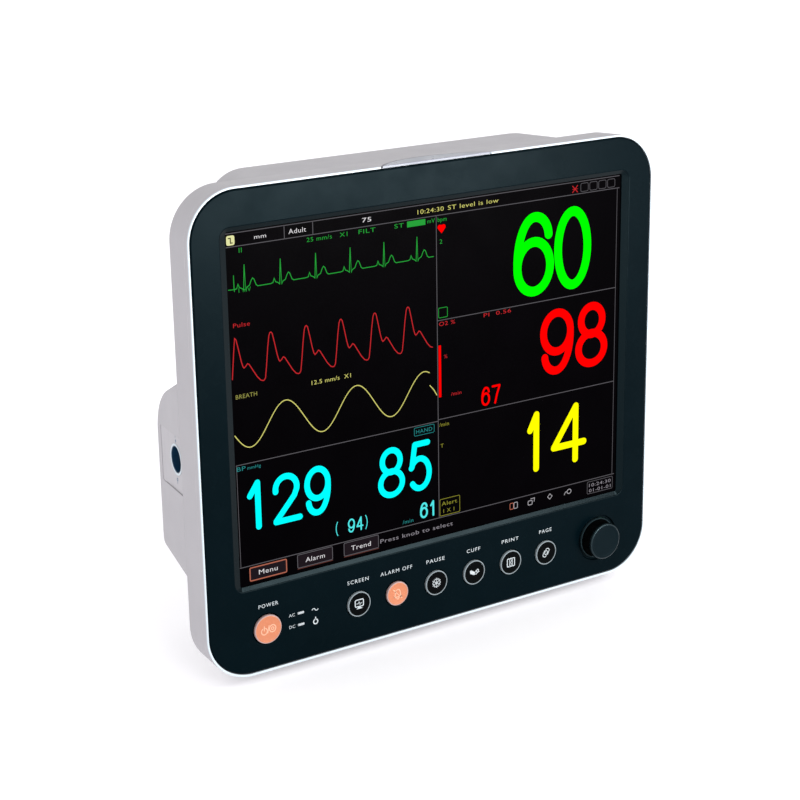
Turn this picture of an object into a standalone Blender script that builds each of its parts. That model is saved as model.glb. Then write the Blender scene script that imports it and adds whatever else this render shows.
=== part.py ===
"""Bedside patient monitor with a 15-inch 4:3 screen, built as its separate parts.

Sizes in this file are millimetres. A place is given as (x, depth, z): x to the right of the screen's
front, depth behind the front face of the bezel, and z above the bezel's centre. The helpers turn them
into world metres, with the origin on the floor under the middle of the monitor, +Y towards its back.
"""

import math

import bmesh
import bpy
from mathutils import Vector

MM = 0.001

# Driving dimensions
BEZEL_W, BEZEL_H, BEZEL_R = 353.0, 313.0, 30.0
FRAME_W, FRAME_H, FRAME_R = 357.0, 318.4, 32.5
FRAME_BACK = 24.8
SCREEN_W, SCREEN_H = 304.1, 228.1
SCREEN_X, SCREEN_Z = 0.15, 17.0
HOUSING_BACK = 72.0
BULGE_BACK = 112.0
WALL = 2.5
GAP = 0.3
FLOOR = -165.5
KNOB_PROUD = 9.5

# Front controls
KEY_Z = -129.0
KEY_D, POWER_D = 17.6, 20.4
KEY_PROUD = 1.3
KEYS = {
    "power_key": (-135.4, POWER_D),
    "display_key": (-66.5, KEY_D),
    "alarm_reset_key": (-36.3, KEY_D),
    "freeze_key": (-4.8, KEY_D),
    "nibp_key": (26.6, KEY_D),
    "record_key": (57.7, KEY_D),
    "view_key": (88.3, KEY_D),
}
LIGHTS = {"ac_light": (-110.0, -124.4), "dc_light": (-110.0, -132.5)}
LIGHT_SIZE = (6.0, 2.0)
KNOB_X, KNOB_Z, KNOB_D = 135.0, -128.7, 27.0
KNOB_BORE, SHAFT_FOOT = 6.5, 11.8
WELL_R = 15.0

# Housing
MAIN_HALF_W, MAIN_BACK_HALF_W, MAIN_R = 146.0, 131.0, 27.0
MAIN_TOP, MAIN_BOTTOM = 156.4, -156.2
BULGE_HALF_W, BULGE_TOP, BULGE_R = 116.0, 98.0, 22.0
POD_FRONT, POD_BACK, POD_BOTTOM = 25.1, 69.0, -94.0
POD_SLOPE = 0.12
LEFT_POD_SHIFT, RIGHT_POD_SHIFT = 0.0, 62.0
POD_SIDE = FRAME_W / 2 - 0.4
PORT_POCKET = (22.0, 98.0, -148.0, -98.0, 10.0)
POCKET_FACE = BULGE_BACK - PORT_POCKET[4]
VESA, VESA_Z = 75.0, -22.0
FOOT_SPOTS = {
    "foot_front_left": (-112.0, 38.0), "foot_front_right": (112.0, 38.0),
    "foot_rear_left": (-88.0, 97.0), "foot_rear_right": (88.0, 97.0),
}
PLATE_W, PLATE_L, PLATE_Y = 100.0, 50.0, 68.0

# Alarm light on the top edge
LENS_HALF, LENS_FRONT, LENS_REAR = 41.0, 1.0, 17.0
LENS_TOP, LENS_BOTTOM = 160.0, 157.5
LENS_STEM = ((72.0, 6.0, 5.0), (0.0, 9.0, 155.6))

# Back
SPEAKER_X, SPEAKER_Z, SPEAKER_R = -60.0, 52.0, 24.0
VENT_X = 55.0
GRIP_W, GRIP_LOW, GRIP_HIGH, GRIP_DEEP = 124.0, 110.0, 142.0, 26.0
BATTERY_X, BATTERY_W, BATTERY_LOW, BATTERY_HIGH = -43.0, 108.0, -146.0, -106.0
BATTERY_HINGE = (BATTERY_X, BULGE_BACK - 2.3, BATTERY_HIGH - 3.0)
INLET_X, INLET_Z, INLET_BODY_W, INLET_BODY_H = 78.0, -123.0, 27.0, 38.0
FUSE_Z = INLET_Z - 12.6
PORTS = {"network_port": (47.0, -111.0, 16.0, 13.5), "usb_port": (30.5, -111.0, 6.5, 13.5)}
POST_X, POST_Z = 40.0, -134.0

# Left side panel and right connector tray, in the frames of the pods' faces
SIDE_DEPTH, SIDE_Z = 44.0, -18.5
SIDE_TURN = math.atan(POD_SLOPE)
PANEL_SUNK, PANEL_H = 2.0, 36.4
ECG_Y, ECG_Z = -8.0, 2.5
ECG_BORE_R, ECG_TUBE_R, ECG_FLANGE_R = 8.4, 9.0, 9.6
ECG_DEEP = 14.0
SENSOR_W, SENSOR_H, SENSOR_Z, SENSOR_DEEP = 33.0, 74.0, 49.5, 8.0
SENSOR_SPOTS = {
    "spo2_socket": (SENSOR_Z + 24.0, 7.6), "nibp_port": (SENSOR_Z + 3.5, 6.0),
    "temp_socket_1": (SENSOR_Z - 13.5, 4.4), "temp_socket_2": (SENSOR_Z - 27.0, 4.4),
}

# Recorder, in the frame of the right pod's face
RECORDER_W, RECORDER_H, RECORDER_DEEP = 31.0, 70.0, 38.0
RECORDER_Y, RECORDER_Z = 1.5, -27.0
HINGE_X, HINGE_Y = -3.6, 11.8
DOOR_THICK, DOOR_FREE_EDGE = 2.2, -12.0
ROLL_X, ROLL_Y, ROLL_R, PAPER_W = -24.6, 1.5, 11.5, 50.0
PLATEN_X, PLATEN_Y, PLATEN_R = -6.4, -7.4, 3.0

# Circuit boards
BOARD_X, BOARD_Z = -5.0, 25.0

BODY_Y = -(BULGE_BACK - KNOB_PROUD) / 2

COLOURS = {
    "black_plastic": ((0.010, 0.016, 0.020), 0.42, 0.0),
    "white_trim": ((0.86, 0.88, 0.90), 0.35, 0.0),
    "housing": ((0.53, 0.51, 0.53), 0.5, 0.0),
    "orange": ((0.95, 0.30, 0.15), 0.45, 0.0),
    "screen": ((0.004, 0.004, 0.005), 0.12, 0.0),
    "lens": ((0.62, 0.72, 0.85), 0.2, 0.0),
    "rubber": ((0.03, 0.03, 0.03), 0.8, 0.0),
    "steel": ((0.62, 0.62, 0.63), 0.35, 1.0),
    "board": ((0.03, 0.16, 0.07), 0.5, 0.0),
    "blue": ((0.0, 0.05, 0.12), 0.4, 0.0),
    "paper": ((0.85, 0.85, 0.82), 0.9, 0.0),
    "grey_plastic": ((0.25, 0.26, 0.27), 0.5, 0.0),
    "brass": ((0.75, 0.55, 0.25), 0.3, 1.0),
}


# ---------------------------------------------------------------- scene and helpers

def clear_scene():
    for old in list(bpy.data.objects):
        bpy.data.objects.remove(old, do_unlink=True)


def collection(name):
    made = bpy.data.collections.new(name)
    bpy.context.scene.collection.children.link(made)
    return made


def at(x, depth, z):
    """World position in metres of a place on the monitor."""
    return Vector((x * MM, (BODY_Y + depth) * MM, (z - FLOOR) * MM))


def paint(piece, colour):
    base, roughness, metallic = COLOURS[colour]
    material = bpy.data.materials.new(piece.name)
    material.use_nodes = True
    shader = material.node_tree.nodes["Principled BSDF"]
    shader.inputs["Base Color"].default_value = (*base, 1.0)
    shader.inputs["Roughness"].default_value = roughness
    shader.inputs["Metallic"].default_value = metallic
    piece.data.materials.clear()
    piece.data.materials.append(material)
    return piece


def wrap(name, mesh, cutter=False):
    piece = bpy.data.objects.new(name, mesh)
    (CUTTERS if cutter else PARTS).objects.link(piece)
    if cutter:
        piece.hide_render = True
        piece.display_type = "WIRE"
    return piece


def place(piece, position, parent=None):
    """Puts a piece at a world position or, with a parent, at millimetres in the parent's frame."""
    if parent is None:
        piece.location = position
    else:
        piece.parent = parent
        piece.location = Vector(position) * MM
    return piece


def frame_at(name, position, turn_z=0.0):
    """An empty that carries pieces in a frame turned about the vertical."""
    empty = bpy.data.objects.new(name, None)
    PARTS.objects.link(empty)
    empty.location = position
    empty.rotation_euler = (0.0, 0.0, turn_z)
    return empty


def box_mesh(name, size, bevel=0.0, bevel_steps=2):
    mesh = bpy.data.meshes.new(name)
    work = bmesh.new()
    bmesh.ops.create_cube(work, size=1.0)
    bmesh.ops.scale(work, vec=Vector(size) * MM, verts=work.verts)
    if bevel:
        bmesh.ops.bevel(
            work, geom=work.edges[:], offset=bevel * MM, segments=bevel_steps,
            profile=0.5, affect="EDGES",
        )
    work.to_mesh(mesh)
    work.free()
    return mesh


def box(name, size, centre, parent=None, bevel=0.0, cutter=False):
    piece = wrap(name, box_mesh(name, size, bevel), cutter)
    position = centre if parent else at(*centre)
    return place(piece, position, parent)


def boxes(name, items, cutter=True):
    """Several separate boxes as one cutter: each item is (size, centre)."""
    mesh = bpy.data.meshes.new(name)
    work = bmesh.new()
    for size, centre in items:
        made = bmesh.ops.create_cube(work, size=1.0)["verts"]
        bmesh.ops.scale(work, vec=Vector(size) * MM, verts=made)
        bmesh.ops.translate(work, vec=at(*centre), verts=made)
    work.to_mesh(mesh)
    work.free()
    return wrap(name, mesh, cutter)


def rod(name, radius, length, centre, axis="Y", parent=None, sides=20, cutter=False):
    """A cylinder along an axis of the world, or of its parent."""
    mesh = bpy.data.meshes.new(name)
    work = bmesh.new()
    bmesh.ops.create_cone(
        work, cap_ends=True, segments=sides, radius1=radius * MM, radius2=radius * MM,
        depth=length * MM,
    )
    work.to_mesh(mesh)
    work.free()
    piece = wrap(name, mesh, cutter)
    piece.rotation_euler = {
        "X": (0.0, math.pi / 2, 0.0), "Y": (math.pi / 2, 0.0, 0.0), "Z": (0.0, 0.0, 0.0),
    }[axis]
    position = centre if parent else at(*centre)
    return place(piece, position, parent)


def turned(name, profile, centre, facing="front", parent=None, sides=24, cutter=False):
    """A turned piece: the profile's (radius, height) points run down its outer side.

    Height points out of the monitor's front, back, left, right or top. A profile that ends where it
    starts makes a ring.
    """
    mesh = bpy.data.meshes.new(name)
    closed = profile[0] == profile[-1]
    points = [(r * MM, 0.0, h * MM) for r, h in (profile[:-1] if closed else profile)]
    edges = [(i, i + 1) for i in range(len(points) - 1)]
    if closed:
        edges.append((len(points) - 1, 0))
    mesh.from_pydata(points, edges, [])
    piece = wrap(name, mesh, cutter)
    screw = piece.modifiers.new("Turn", "SCREW")
    screw.axis = "Z"
    screw.steps = sides
    screw.render_steps = sides
    screw.use_merge_vertices = True
    screw.merge_threshold = 0.00001
    half = math.pi / 2
    piece.rotation_euler = {
        "front": (half, 0.0, 0.0), "back": (-half, 0.0, 0.0), "left": (0.0, -half, 0.0),
        "right": (0.0, half, 0.0), "up": (0.0, 0.0, 0.0),
    }[facing]
    position = centre if parent else at(*centre)
    return place(piece, position, parent)


def rounded(width, height, radius, centre=(0.0, 0.0), steps=5):
    """Points of a rectangle with round corners, anticlockwise."""
    points = []
    for corner in range(4):
        turn = corner * math.pi / 2
        side_x = 1 if corner in (0, 3) else -1
        side_y = 1 if corner in (0, 1) else -1
        mid_x = centre[0] + side_x * (width / 2 - radius)
        mid_y = centre[1] + side_y * (height / 2 - radius)
        for step in range(steps + 1):
            angle = turn + step / steps * math.pi / 2
            points.append((mid_x + radius * math.cos(angle), mid_y + radius * math.sin(angle)))
    return points


def circle(radius, centre, sides=32):
    return [
        (centre[0] + radius * math.cos(2 * math.pi * i / sides),
         centre[1] + radius * math.sin(2 * math.pi * i / sides))
        for i in range(sides)
    ]


def slab(name, loops, low, high, normal="front", cutter=False):
    """A flat outline, with holes, between two heights along its normal.

    A front slab's outline is (x, z) and low and high are depths; a side slab's outline is (depth, z)
    and low and high are x; a top slab's outline is (x, depth) and low and high are z.
    """
    curve = bpy.data.curves.new(name, "CURVE")
    curve.dimensions = "2D"
    curve.fill_mode = "BOTH"
    curve.extrude = (high - low) / 2 * MM
    for loop in loops:
        spline = curve.splines.new("POLY")
        spline.points.add(len(loop) - 1)
        spline.use_cyclic_u = True
        for point, (u, v) in zip(spline.points, loop):
            point.co = (u * MM, v * MM, 0.0, 1.0)
    drawn = bpy.data.objects.new(name + "_outline", curve)
    PARTS.objects.link(drawn)
    middle = (low + high) / 2
    half = math.pi / 2
    if normal == "front":
        drawn.location = at(0.0, middle, 0.0)
        drawn.rotation_euler = (half, 0.0, 0.0)
    elif normal == "side":
        drawn.location = at(middle, 0.0, 0.0)
        drawn.rotation_euler = (half, 0.0, half)
    else:
        drawn.location = at(0.0, 0.0, middle)
    return meshed(drawn, name, cutter)


def meshed(drawn, name, cutter=False):
    """The mesh object of a curve, with its caps welded."""
    bpy.context.view_layer.update()
    graph = bpy.context.evaluated_depsgraph_get()
    mesh = bpy.data.meshes.new_from_object(drawn.evaluated_get(graph))
    work = bmesh.new()
    work.from_mesh(mesh)
    bmesh.ops.remove_doubles(work, verts=work.verts, dist=0.000001)
    work.to_mesh(mesh)
    work.free()
    piece = wrap(name, mesh, cutter)
    piece.matrix_world = drawn.matrix_world
    bpy.data.objects.remove(drawn, do_unlink=True)
    return piece


def loft(name, sections, cutter=False):
    """A closed body through outlines of equal point count, each a (depth, outline) pair."""
    mesh = bpy.data.meshes.new(name)
    work = bmesh.new()
    rings = [
        [work.verts.new(at(x, depth, z)) for x, z in outline] for depth, outline in sections
    ]
    for near, far in zip(rings, rings[1:]):
        for i in range(len(near)):
            j = (i + 1) % len(near)
            work.faces.new((near[i], near[j], far[j], far[i]))
    work.faces.new(rings[0])
    work.faces.new(rings[-1])
    bmesh.ops.recalc_face_normals(work, faces=work.faces)
    work.to_mesh(mesh)
    work.free()
    return wrap(name, mesh, cutter)


def boolean(piece, other, operation):
    step = piece.modifiers.new(operation.title(), "BOOLEAN")
    step.operation = operation
    step.solver = "EXACT"
    step.object = other
    other.hide_render = True
    other.display_type = "WIRE"
    if other.name in PARTS.objects:
        PARTS.objects.unlink(other)
        CUTTERS.objects.link(other)
    return piece


def cut(piece, *cutters):
    for cutter in cutters:
        boolean(piece, cutter, "DIFFERENCE")
    return piece


def join(piece, *others):
    for other in others:
        boolean(piece, other, "UNION")
    return piece


def fillet(radius, steps):
    """Pairs of (height, inset) down a quarter round, from its top edge to its side."""
    return [
        (radius * (1 - math.cos(i / steps * math.pi / 2)),
         radius * (1 - math.sin(i / steps * math.pi / 2)))
        for i in range(steps + 1)
    ]


def inset(outline, distance):
    """A convex outline moved inwards by a distance, point by point."""
    moved = []
    count = len(outline)
    for i, (x, y) in enumerate(outline):
        before = Vector(outline[i - 1])
        after = Vector(outline[(i + 1) % count])
        here = Vector((x, y))
        ahead = (after - here).normalized()
        behind = (here - before).normalized()
        normal = Vector((-(ahead + behind).y, (ahead + behind).x)).normalized()
        half_turn = max(0.3, math.cos(ahead.angle(behind) / 2))
        moved.append(tuple(here + normal * distance / half_turn))
    return moved


# ---------------------------------------------------------------- front

def front_bezel():
    """Black front moulding: screen window with a sloped edge, holes for the keys, lights and knob."""
    edge = 0.8
    plate_back = 2.6
    skirt = 2.2
    window = rounded(SCREEN_W + 1.5, SCREEN_H + 1.5, 1.5, (2 * SCREEN_X, SCREEN_Z + 0.2))
    window_outer = rounded(315.5, 235.0, 7.0, (2 * SCREEN_X, SCREEN_Z + 0.4))
    body = loft("front_bezel", [
        (0.0, rounded(BEZEL_W - 2 * edge, BEZEL_H - 2 * edge, BEZEL_R - edge)),
        (edge * 0.3, rounded(BEZEL_W - 0.6 * edge, BEZEL_H - 0.6 * edge, BEZEL_R - 0.3 * edge)),
        (edge, rounded(BEZEL_W, BEZEL_H, BEZEL_R)),
        (plate_back, rounded(BEZEL_W, BEZEL_H, BEZEL_R)),
        (plate_back + 0.01, rounded(BEZEL_W - 5.0, BEZEL_H - 5.0, BEZEL_R - 2.5)),
        (12.0, rounded(BEZEL_W - 5.0, BEZEL_H - 5.0, BEZEL_R - 2.5)),
    ])
    hollow_w = BEZEL_W - 5.0 - 2 * skirt
    hollow_h = BEZEL_H - 5.0 - 2 * skirt
    cut(body, loft("bezel_hollow", [
        (plate_back, rounded(hollow_w, hollow_h, BEZEL_R - 5.0)),
        (13.0, rounded(hollow_w, hollow_h, BEZEL_R - 5.0)),
    ], cutter=True))
    cut(body, loft("window_slope", [
        (-0.2, rounded(316.4, 235.9, 7.4, (2 * SCREEN_X, SCREEN_Z + 0.4))),
        (0.0, window_outer),
        (2.2, window),
        (4.0, window),
    ], cutter=True))
    for key, (x, diameter) in KEYS.items():
        cut(body, rod(key + "_hole", diameter / 2 + 0.35, 8.0, (x, 1.0, KEY_Z), cutter=True))
    for light, (x, z) in LIGHTS.items():
        size = (LIGHT_SIZE[0] + 0.6, 8.0, LIGHT_SIZE[1] + 0.6)
        cut(body, box(light + "_hole", size, (x, 1.0, z), cutter=True))
    cut(body, rod("knob_hole", WELL_R, 8.0, (KNOB_X, 1.0, KNOB_Z), cutter=True))
    cut(body, box("alarm_light_gap", (74.0, 12.0, 12.0), (0.0, 10.4, BEZEL_H / 2 - 4.0), cutter=True))
    return paint(body, "black_plastic")


def trim_ring():
    """White ring round the bezel: a narrow visible land and a flange that the frame clamps."""
    clear = 0.35
    body = loft("trim_ring", [
        (0.2, rounded(FRAME_W - 1.6, FRAME_H - 1.6, FRAME_R - 0.8)),
        (0.5, rounded(FRAME_W - 0.5, FRAME_H - 0.5, FRAME_R - 0.25)),
        (1.1, rounded(FRAME_W, FRAME_H, FRAME_R)),
        (5.0, rounded(FRAME_W, FRAME_H, FRAME_R)),
    ])
    cut(body, loft("trim_hole", [
        (0.0, rounded(BEZEL_W + 2 * clear, BEZEL_H + 2 * clear, BEZEL_R + clear)),
        (2.9, rounded(BEZEL_W + 2 * clear, BEZEL_H + 2 * clear, BEZEL_R + clear)),
        (2.91, rounded(BEZEL_W - 4.2, BEZEL_H - 4.2, BEZEL_R - 2.1)),
        (6.0, rounded(BEZEL_W - 4.2, BEZEL_H - 4.2, BEZEL_R - 2.1)),
    ], cutter=True))
    cut_for_lens(body)
    return paint(body, "white_trim")


def lens_outline(grow):
    """Crescent seen from above: straight at the front, one long arc behind."""
    rise = LENS_REAR - LENS_FRONT
    radius = (LENS_HALF ** 2 + rise ** 2) / (2 * rise)
    centre = LENS_REAR - radius
    front = LENS_FRONT - grow
    reach = math.acos((front - centre) / (radius + grow))
    arc = []
    for i in range(15):
        angle = reach - 2 * reach * i / 14
        arc.append(((radius + grow) * math.sin(angle), centre + (radius + grow) * math.cos(angle)))
    return arc


def cut_for_lens(body):
    """Leaves room for the lens and for the stem that brings the light up to it."""
    cut(body, slab(body.name + "_lens_space", [lens_outline(0.6)], LENS_BOTTOM - GAP, 170.0, "top",
                   cutter=True))
    size, centre = LENS_STEM
    return cut(body, box(body.name + "_stem_space", tuple(side + 2 * GAP for side in size), centre,
                         cutter=True))


def alarm_lens():
    """Translucent alarm light on the top edge, over the alarm board."""
    lens = slab("alarm_lens", [lens_outline(0.0)], LENS_BOTTOM, LENS_TOP, "top")
    size, centre = LENS_STEM
    return paint(join(lens, box("lens_stem", size, centre, cutter=True)), "lens")


def alarm_board():
    board = box("alarm_board", (70.0, 7.0, 1.6), (0.0, 9.0, 150.2))
    join(board, box("alarm_diodes", (56.0, 3.0, 1.6), (0.0, 9.0, 151.4), cutter=True))
    return paint(board, "board")


def mid_frame():
    """Light grey band round the edge, closed behind by a wall that the rear housing screws to."""
    body = loft("mid_frame", [
        (5.3, rounded(FRAME_W, FRAME_H, FRAME_R)),
        (FRAME_BACK - 2.4, rounded(FRAME_W - 0.6, FRAME_H - 2.6, FRAME_R)),
        (FRAME_BACK - 0.8, rounded(FRAME_W - 1.6, FRAME_H - 3.6, FRAME_R - 0.5)),
        (FRAME_BACK, rounded(FRAME_W - 3.8, FRAME_H - 5.8, FRAME_R - 1.5)),
    ])
    cut(body, loft("frame_hollow", [
        (4.0, rounded(FRAME_W - 5.6, FRAME_H - 6.2, FRAME_R - 2.8)),
        (FRAME_BACK - WALL, rounded(FRAME_W - 5.6, FRAME_H - 7.4, FRAME_R - 2.8)),
    ], cutter=True))
    cut(body, slab("frame_opening", [rounded(270.0, 292.0, 20.0)], 20.0, 30.0, cutter=True))
    cut_for_lens(body)
    return paint(body, "housing")


def lcd_panel():
    """Display module: a black front in a thin metal tray."""
    body = box("lcd_panel", (326.5, 9.5, 253.5), (SCREEN_X, 7.7, SCREEN_Z), bevel=0.6)
    tray = box("lcd_tray", (300.0, 2.0, 226.0), (SCREEN_X, 12.6, SCREEN_Z), cutter=True)
    return paint(join(body, tray), "screen")


def screen_gasket():
    outer = rounded(332.0, 258.6, 8.0, (SCREEN_X, SCREEN_Z), steps=3)
    inner = rounded(327.3, 254.3, 1.0, (SCREEN_X, SCREEN_Z), steps=2)
    return paint(slab("screen_gasket", [outer, inner], 3.0, 9.0), "rubber")


def key_cap(name, x, diameter):
    """One key: a cap that stands just proud, a flange behind the bezel and a stub over its switch."""
    radius = diameter / 2
    cap = turned(name, [
        (0.0, KEY_PROUD), (radius - 0.7, KEY_PROUD), (radius, KEY_PROUD - 0.5),
        (radius, -2.9), (radius + 1.4, -2.9), (radius + 1.4, -4.2), (2.5, -4.2), (2.5, -6.0),
        (0.0, -6.0),
    ], (x, 0.0, KEY_Z), sides=20)
    return paint(cap, "orange" if name in ("power_key", "alarm_reset_key") else "black_plastic")


def key_board():
    """Circuit board under the keys, with a switch dome for each, and a hole for the encoder."""
    face = 8.4
    board = slab("key_board", [
        rounded(306.0, 23.0, 2.0, (0.0, KEY_Z), steps=2), circle(5.4, (KNOB_X, KNOB_Z), 24),
    ], face, face + 1.6)
    for key, (x, _) in KEYS.items():
        join(board, rod(key + "_dome", 3.2, 1.0, (x, face - 0.2, KEY_Z), sides=8, cutter=True))
    return paint(board, "board")


def light_pipe():
    """One clear moulding with a window for each power light, joined behind the bezel."""
    top, bottom = (z for _, z in LIGHTS.values())
    x = LIGHTS["ac_light"][0]
    pipe = box("light_pipe", (LIGHT_SIZE[0], 2.0, top - bottom + 4.0), (x, 5.0, (top + bottom) / 2))
    for light, (light_x, z) in LIGHTS.items():
        window = box(light, (LIGHT_SIZE[0], 5.0, LIGHT_SIZE[1]), (light_x, 2.4, z), bevel=0.2,
                     cutter=True)
        join(pipe, window)
    return paint(pipe, "lens")


def knob_well():
    """Cup behind the knob, with a thin bright rim in front of the bezel."""
    cup = turned("knob_well", [
        (WELL_R + 0.9, 0.4), (WELL_R + 0.5, 1.0), (WELL_R - 0.7, 1.0), (WELL_R - 0.9, 0.6),
        (WELL_R - 0.9, -3.0), (4.9, -3.0), (4.9, -4.4), (WELL_R - 0.35, -4.4), (WELL_R - 0.35, 0.3),
        (WELL_R + 0.9, 0.3), (WELL_R + 0.9, 0.4),
    ][::-1], (KNOB_X, 0.0, KNOB_Z), sides=32)
    return paint(cup, "steel")


def rotary_knob():
    radius = KNOB_D / 2
    knob = turned("rotary_knob", [
        (0.0, KNOB_PROUD), (radius - 1.3, KNOB_PROUD), (radius - 0.4, KNOB_PROUD - 0.4),
        (radius, KNOB_PROUD - 1.3), (radius, -1.5), (radius - 1.7, -1.5), (radius - 1.7, 3.2),
        (3.3, 3.2), (3.3, KNOB_BORE), (0.0, KNOB_BORE),
    ], (KNOB_X, 0.0, KNOB_Z), sides=32)
    return paint(knob, "black_plastic")


def encoder():
    """Rotary encoder: body, threaded bush, nut, turning shaft and the push plunger under it."""
    middle = (KNOB_X, 0.0, KNOB_Z)
    body = turned("rotary_encoder", [
        (0.0, -15.9), (3.4, -15.9), (3.4, -1.4), (4.5, -1.4), (4.5, -10.3), (7.4, -10.3),
        (7.4, -17.2), (0.0, -17.2),
    ], middle, sides=20)
    paint(body, "steel")
    nut = slab("encoder_nut", [circle(6.6, (KNOB_X, KNOB_Z), 6), circle(4.8, (KNOB_X, KNOB_Z), 24)],
               0.6, 2.7)
    paint(nut, "brass")
    tip = GAP - KNOB_BORE
    shaft = rod("encoder_shaft", 3.0, SHAFT_FOOT - tip, (KNOB_X, (SHAFT_FOOT + tip) / 2, KNOB_Z), sides=24)
    paint(shaft, "steel")
    plunger = rod("encoder_plunger", 2.6, 2.0, (KNOB_X, 13.2, KNOB_Z), sides=24)
    paint(plunger, "rubber")


# ---------------------------------------------------------------- rear housing

def main_sections(wall):
    """Main shell: sides that draft in towards the back, with a round rear edge."""
    round_edge = 8.0
    sections = []
    for depth in (POD_FRONT - 2.0 * (wall > 0), 42.0, HOUSING_BACK - round_edge):
        share = max(0.0, (depth - POD_FRONT) / (HOUSING_BACK - POD_FRONT))
        half = MAIN_HALF_W + (MAIN_BACK_HALF_W - MAIN_HALF_W) * share
        sections.append((depth, half, 0.0))
    for height, cornering in fillet(round_edge - wall, 4)[::-1][1:]:
        sections.append((HOUSING_BACK - wall - height, MAIN_BACK_HALF_W + 1.0, cornering))
    outlines = []
    for depth, half, cornering in sections:
        edge = wall + cornering
        outlines.append((depth, rounded(
            2 * (half - edge), MAIN_TOP - MAIN_BOTTOM - 2 * edge, max(4.0, MAIN_R - edge),
            (0.0, (MAIN_TOP + MAIN_BOTTOM) / 2), steps=6,
        )))
    return outlines


def bulge_sections(wall):
    round_edge = 10.0
    sections = [(HOUSING_BACK - 14.0, 0.0), (BULGE_BACK - round_edge, 6.0)]
    for height, cornering in fillet(round_edge - wall, 3)[::-1][1:]:
        sections.append((BULGE_BACK - wall - height, 6.0 + cornering))
    outlines = []
    for depth, cornering in sections:
        edge = wall + cornering
        top = BULGE_TOP - edge
        bottom = MAIN_BOTTOM + wall + max(0.0, cornering - 6.0)
        outlines.append((depth, rounded(
            2 * (BULGE_HALF_W - edge), top - bottom, max(4.0, BULGE_R - edge),
            (0.0, (top + bottom) / 2),
        )))
    return outlines


def pod_outline(shift, wall):
    """Side view of a pod, (depth, z): a sloped top, a large round shoulder, an upright back."""
    shoulder_r = 35.5
    centre = (POD_BACK - shoulder_r, -6.0 + shift)
    points = [(POD_FRONT - 4.0, 39.5 + shift), (36.0, 32.3 + shift)]
    for i in range(8):
        angle = math.radians(66.0 - 66.0 * i / 7)
        points.append((centre[0] + shoulder_r * math.cos(angle),
                       centre[1] + shoulder_r * math.sin(angle)))
    corner_r = 6.0
    corner = (POD_BACK - corner_r, -78.5)
    for i in range(5):
        angle = math.radians(-75.0 * i / 4)
        points.append((corner[0] + corner_r * math.cos(angle), corner[1] + corner_r * math.sin(angle)))
    points.append((POD_FRONT - 4.0, POD_BOTTOM))
    return inset(points[::-1], wall) if wall else points[::-1]


def pod(name, side, shift, wall):
    """A pod on one side of the housing; its outer face slopes in towards the back."""
    reach = POD_SIDE - wall
    low, high = (-reach, -100.0) if side < 0 else (100.0, reach)
    body = slab(name, [pod_outline(shift, wall)], low, high, "side", cutter=True)
    inner_x = 101.0 * MM
    for vertex in body.data.vertices:
        spot = body.matrix_world @ vertex.co
        if abs(spot.x) > inner_x:
            depth = spot.y / MM - BODY_Y
            spot.x -= side * POD_SLOPE * (depth - POD_FRONT) * MM
            vertex.co = body.matrix_world.inverted() @ spot
    if not wall:
        edges = body.modifiers.new("Edge", "BEVEL")
        edges.limit_method = "ANGLE"
        edges.angle_limit = math.radians(40.0)
        edges.width = 3.0 * MM
        edges.segments = 2
    return body


def port_pocket(grow):
    left, right, bottom, top, deep = PORT_POCKET
    size = (right - left + 2 * grow, deep + grow + 6.0, top - bottom + 2 * grow)
    return box("port_pocket_%d" % grow, size, (
        (left + right) / 2, BULGE_BACK - deep - grow + size[1] / 2, (bottom + top) / 2,
    ), cutter=True)


def housing_hollow():
    hollow = loft("housing_hollow", main_sections(WALL), cutter=True)
    join(hollow, loft("bulge_hollow", bulge_sections(WALL), cutter=True))
    join(hollow, pod("left_pod_hollow", -1, LEFT_POD_SHIFT, WALL))
    join(hollow, pod("right_pod_hollow", 1, RIGHT_POD_SHIFT, WALL))
    cut(hollow, port_pocket(WALL))
    return hollow


def vent_rows(name, middle_x, middle_z, rows, width, pitch=6.0):
    """Rows of slots through the housing's back, in the outline of a circle."""
    items = []
    radius = rows * pitch / 2 + 1.0
    for row in range(rows):
        z = (row - (rows - 1) / 2) * pitch
        half = math.sqrt(max(1.0, radius ** 2 - z ** 2)) * width
        items.append(((2 * half, 12.0, 2.6), (middle_x, BULGE_BACK - 2.0, middle_z + z)))
    return boxes(name, items)


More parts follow.
